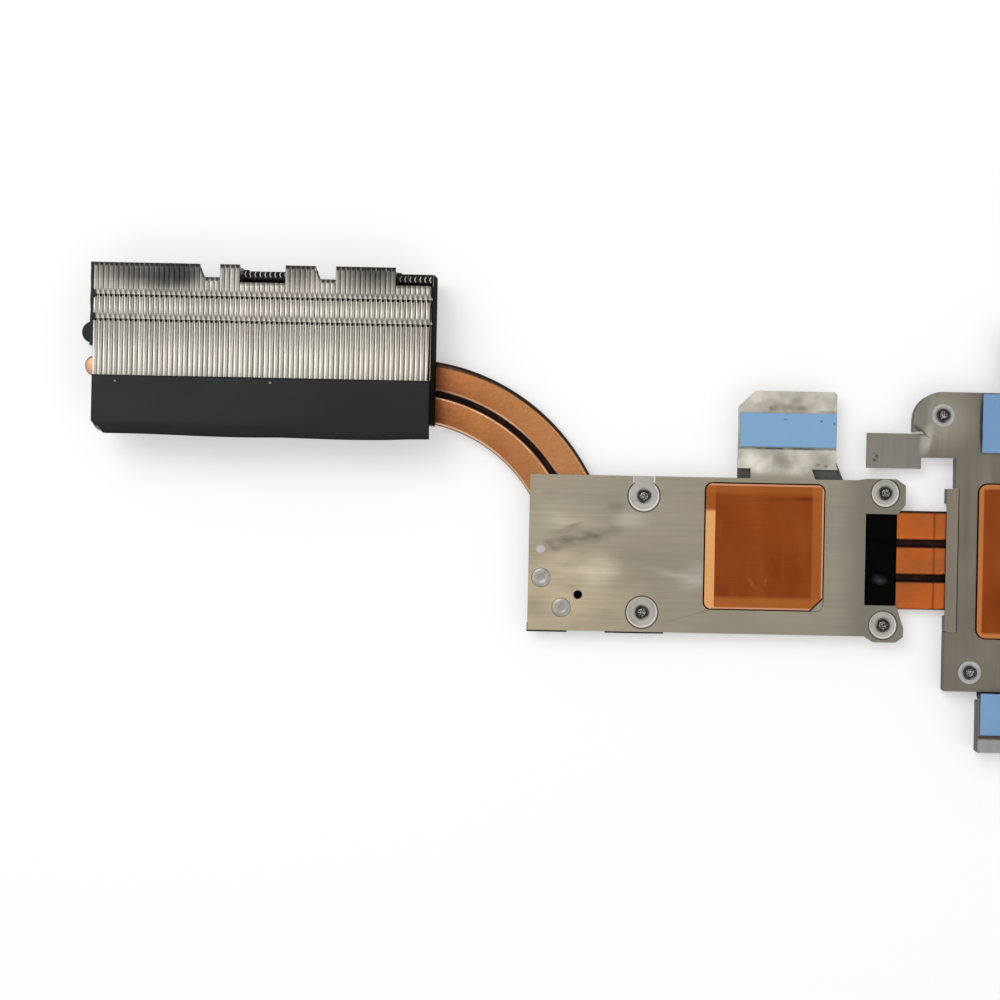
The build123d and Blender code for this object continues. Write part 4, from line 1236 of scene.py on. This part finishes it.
for group, spots, seat in (("cpu", cpu_holes + ear_holes, cpu_seat), ("gpu", gpu_holes, gpu_seat)):
    for kind, maker, level, finish, slot, seed, sharp in (
        ("screw", screw_mesh(seat), head_level, screw_steel, "screw_steel", 21, 30),
        ("spring", spring_mesh(), head_level, screw_steel, "screw_steel", 22, 40),
        ("clip", clip_mesh(), seat, clip_black, "clip_steel", 23, 40),
    ):
        node = group + ("_screws" if kind == "screw" else f"_screw_{kind}s")
        set_at(f"{group}_{kind}_set", maker, spots, level, finish, slot, node, seed, sharp)

# Washers. Milk-white nylon washers lie under the graphics plate's clips, on the face of the plate, and
# are held only by them.
washer_nylon = begin("washer_nylon", 0.0, 0.5, 0.4)
waxy = clouds(300, 0.3, 0.7)
base((0.42, 0.42, 0.41), (0.56, 0.56, 0.55), waxy)
for hole in gpu_holes:
    # Painted shade round each clip on its washer.
    lay((0.12, 0.115, 0.11), disc(hole, 2.5, 0.3), 0.8)
close(waxy, 0.02 * mm)
washer = lathe((
    (1.45, 0.05), (1.5, 0.0), (3.1, 0.0), (3.2, 0.08), (3.2, 0.2), (3.08, 0.29), (1.55, 0.3), (1.45, 0.24),
    (1.45, 0.05),
), 36)
set_at("gpu_washer_set", washer, gpu_holes, plate_top, washer_nylon, "washer_nylon", "gpu_screw_washers", 24)

# Graphics plate. A pressed sheet of aluminium, greyer than the first plate, brushed along its height,
# with skirts bent down along its sides and an arm that steps down and reaches over to the first plate.
gpu_metal = begin("gpu_plate_aluminium", 0.7, 0.42, 0.25)
cloudy = clouds(60, 0.35, 0.7)
base((0.198, 0.186, 0.16), (0.225, 0.21, 0.182), cloudy)
fleck = (0.05, 0.045, 0.04)
marks((
    (fleck, (31.2, 26.1), (0.6, 0.9), 20, 0.9, 0.7),
    (fleck, (30.6, 25.0), (0.8, 0.5), -10, 0.9, 0.7),
    (fleck, (30.4, 26.9), (0.5, 0.4), 0, 0.6, 0.7),
))
arm_colour = making["colour"]
base((0.154, 0.134, 0.104), (0.19, 0.168, 0.131), cloudy)
lay((0.37, 0.345, 0.28), disc((49, 37), 11, 0.9), 0.8)
lay(arm_colour, fade("X", 46.5, 43.5))
marks((
    ((0.42, 0.40, 0.34), (44.9, 31.0), (1.9, 5.2), -12, 0.8, 0.6),
    # Painted shade and, in the next row, painted highlight along a crease in the arm.
    ((0.06, 0.055, 0.045), (42.8, 33.6), (3.1, 0.9), -38, 0.9, 0.6),
    ((0.36, 0.34, 0.29), (46.5, 33.2), (3.4, 0.7), -30, 0.6),
    ((0.34, 0.31, 0.26), (62, 12), (2.0, 20), 0, 0.3, 0.9),
    # Painted shadow on the plate beside the left side of the graphics pad.
    ((0.02, 0.022, 0.022), (60.2, 35.4), (0.6, 8.6), 0, 0.9, 0.4),
    ((0.07, 0.072, 0.06), (56.5, 8), (1.6, 20), 0, 0.35, 0.9),
))
scratched = clouds(800, 0.3, 0.7, stretch=(1, 0.05, 1))
lay((0.12, 0.11, 0.095), scratched, 0.3)
tab_shine = fade("Y", 44.6, 47)
lay((0.36, 0.34, 0.295), tab_shine, clouds(160, 0.35, 0.65), 0.8)


def end_skirted(scratched, side):
    """Scratched on its level faces; its upright ones get painted shade and are dull."""
    level = levelness()
    lay(side, spread(level, 0.6, 0.25))
    drive("Metallic", spread(level, 0.2, 0.6, 0.0, 0.7))
    close(scratched, 0.02 * mm, (0.36, 0.5))


# Painted shade on the plate's skirts and upright faces.
end_skirted(scratched, (0.014, 0.015, 0.0145))
dress("gpu_plate", gpu_metal, 0.12 * mm)

# Graphics cold plate. A copper block like the other, with bright milled margins, and a dark ring of painted
# shade in the gap round it.
graphics_copper = start_copper("graphics_copper", (0.17, 0.032, 0.005), -20)
for axis, low, high, soft in (
    ("Y", -60, -23.2, 0.5), ("X", 101.8, 120, 0.5), ("Y", 17.6, 60, 0.5), ("X", 0, 61.1, 0.25),
):
    lay((0.44, 0.16, 0.05), band(axis, low, high, soft), 0.85)
end_copper((0.70, 0.36, 0.18))
dress("gpu_cold_plate", graphics_copper, 0.3 * mm)
window_gap_shade("gpu_window_gap_shade", (81.4, -2.8), (43, 43), 2.5)

# Bridge and bracket. The bridge is a narrow strip across the pipes, soldered to them, with a leg bent
# down at each end. The bracket laps behind the graphics plate and steps up to carry its pad.
bridge_metal = begin("bridge_aluminium", 0.7, 0.42, 0.25)
cloudy = clouds(90, 0.35, 0.7, stretch=(1, 0.4, 1))
base((0.198, 0.165, 0.128), (0.235, 0.20, 0.158), cloudy)
shelf = fade("Y", -52.6, -52.9)
lay((0.29, 0.305, 0.315), shelf, 0.85)
# Painted shadow under the lower edge of the bracket's pad.
lay((0.02, 0.022, 0.022), spot((83, -51.9), (40, 0.75), 0, 0.3), 0.9)
scratched = clouds(800, 0.3, 0.7, stretch=(1, 0.05, 1))
lay((0.15, 0.14, 0.12), scratched, 0.3)
# Painted shade on the upright faces of the bridge and bracket.
end_skirted(scratched, (0.014, 0.016, 0.015))
dress("pipe_bridge", bridge_metal, 0.1 * mm)
dress("gpu_bracket", bridge_metal, 0.1 * mm)
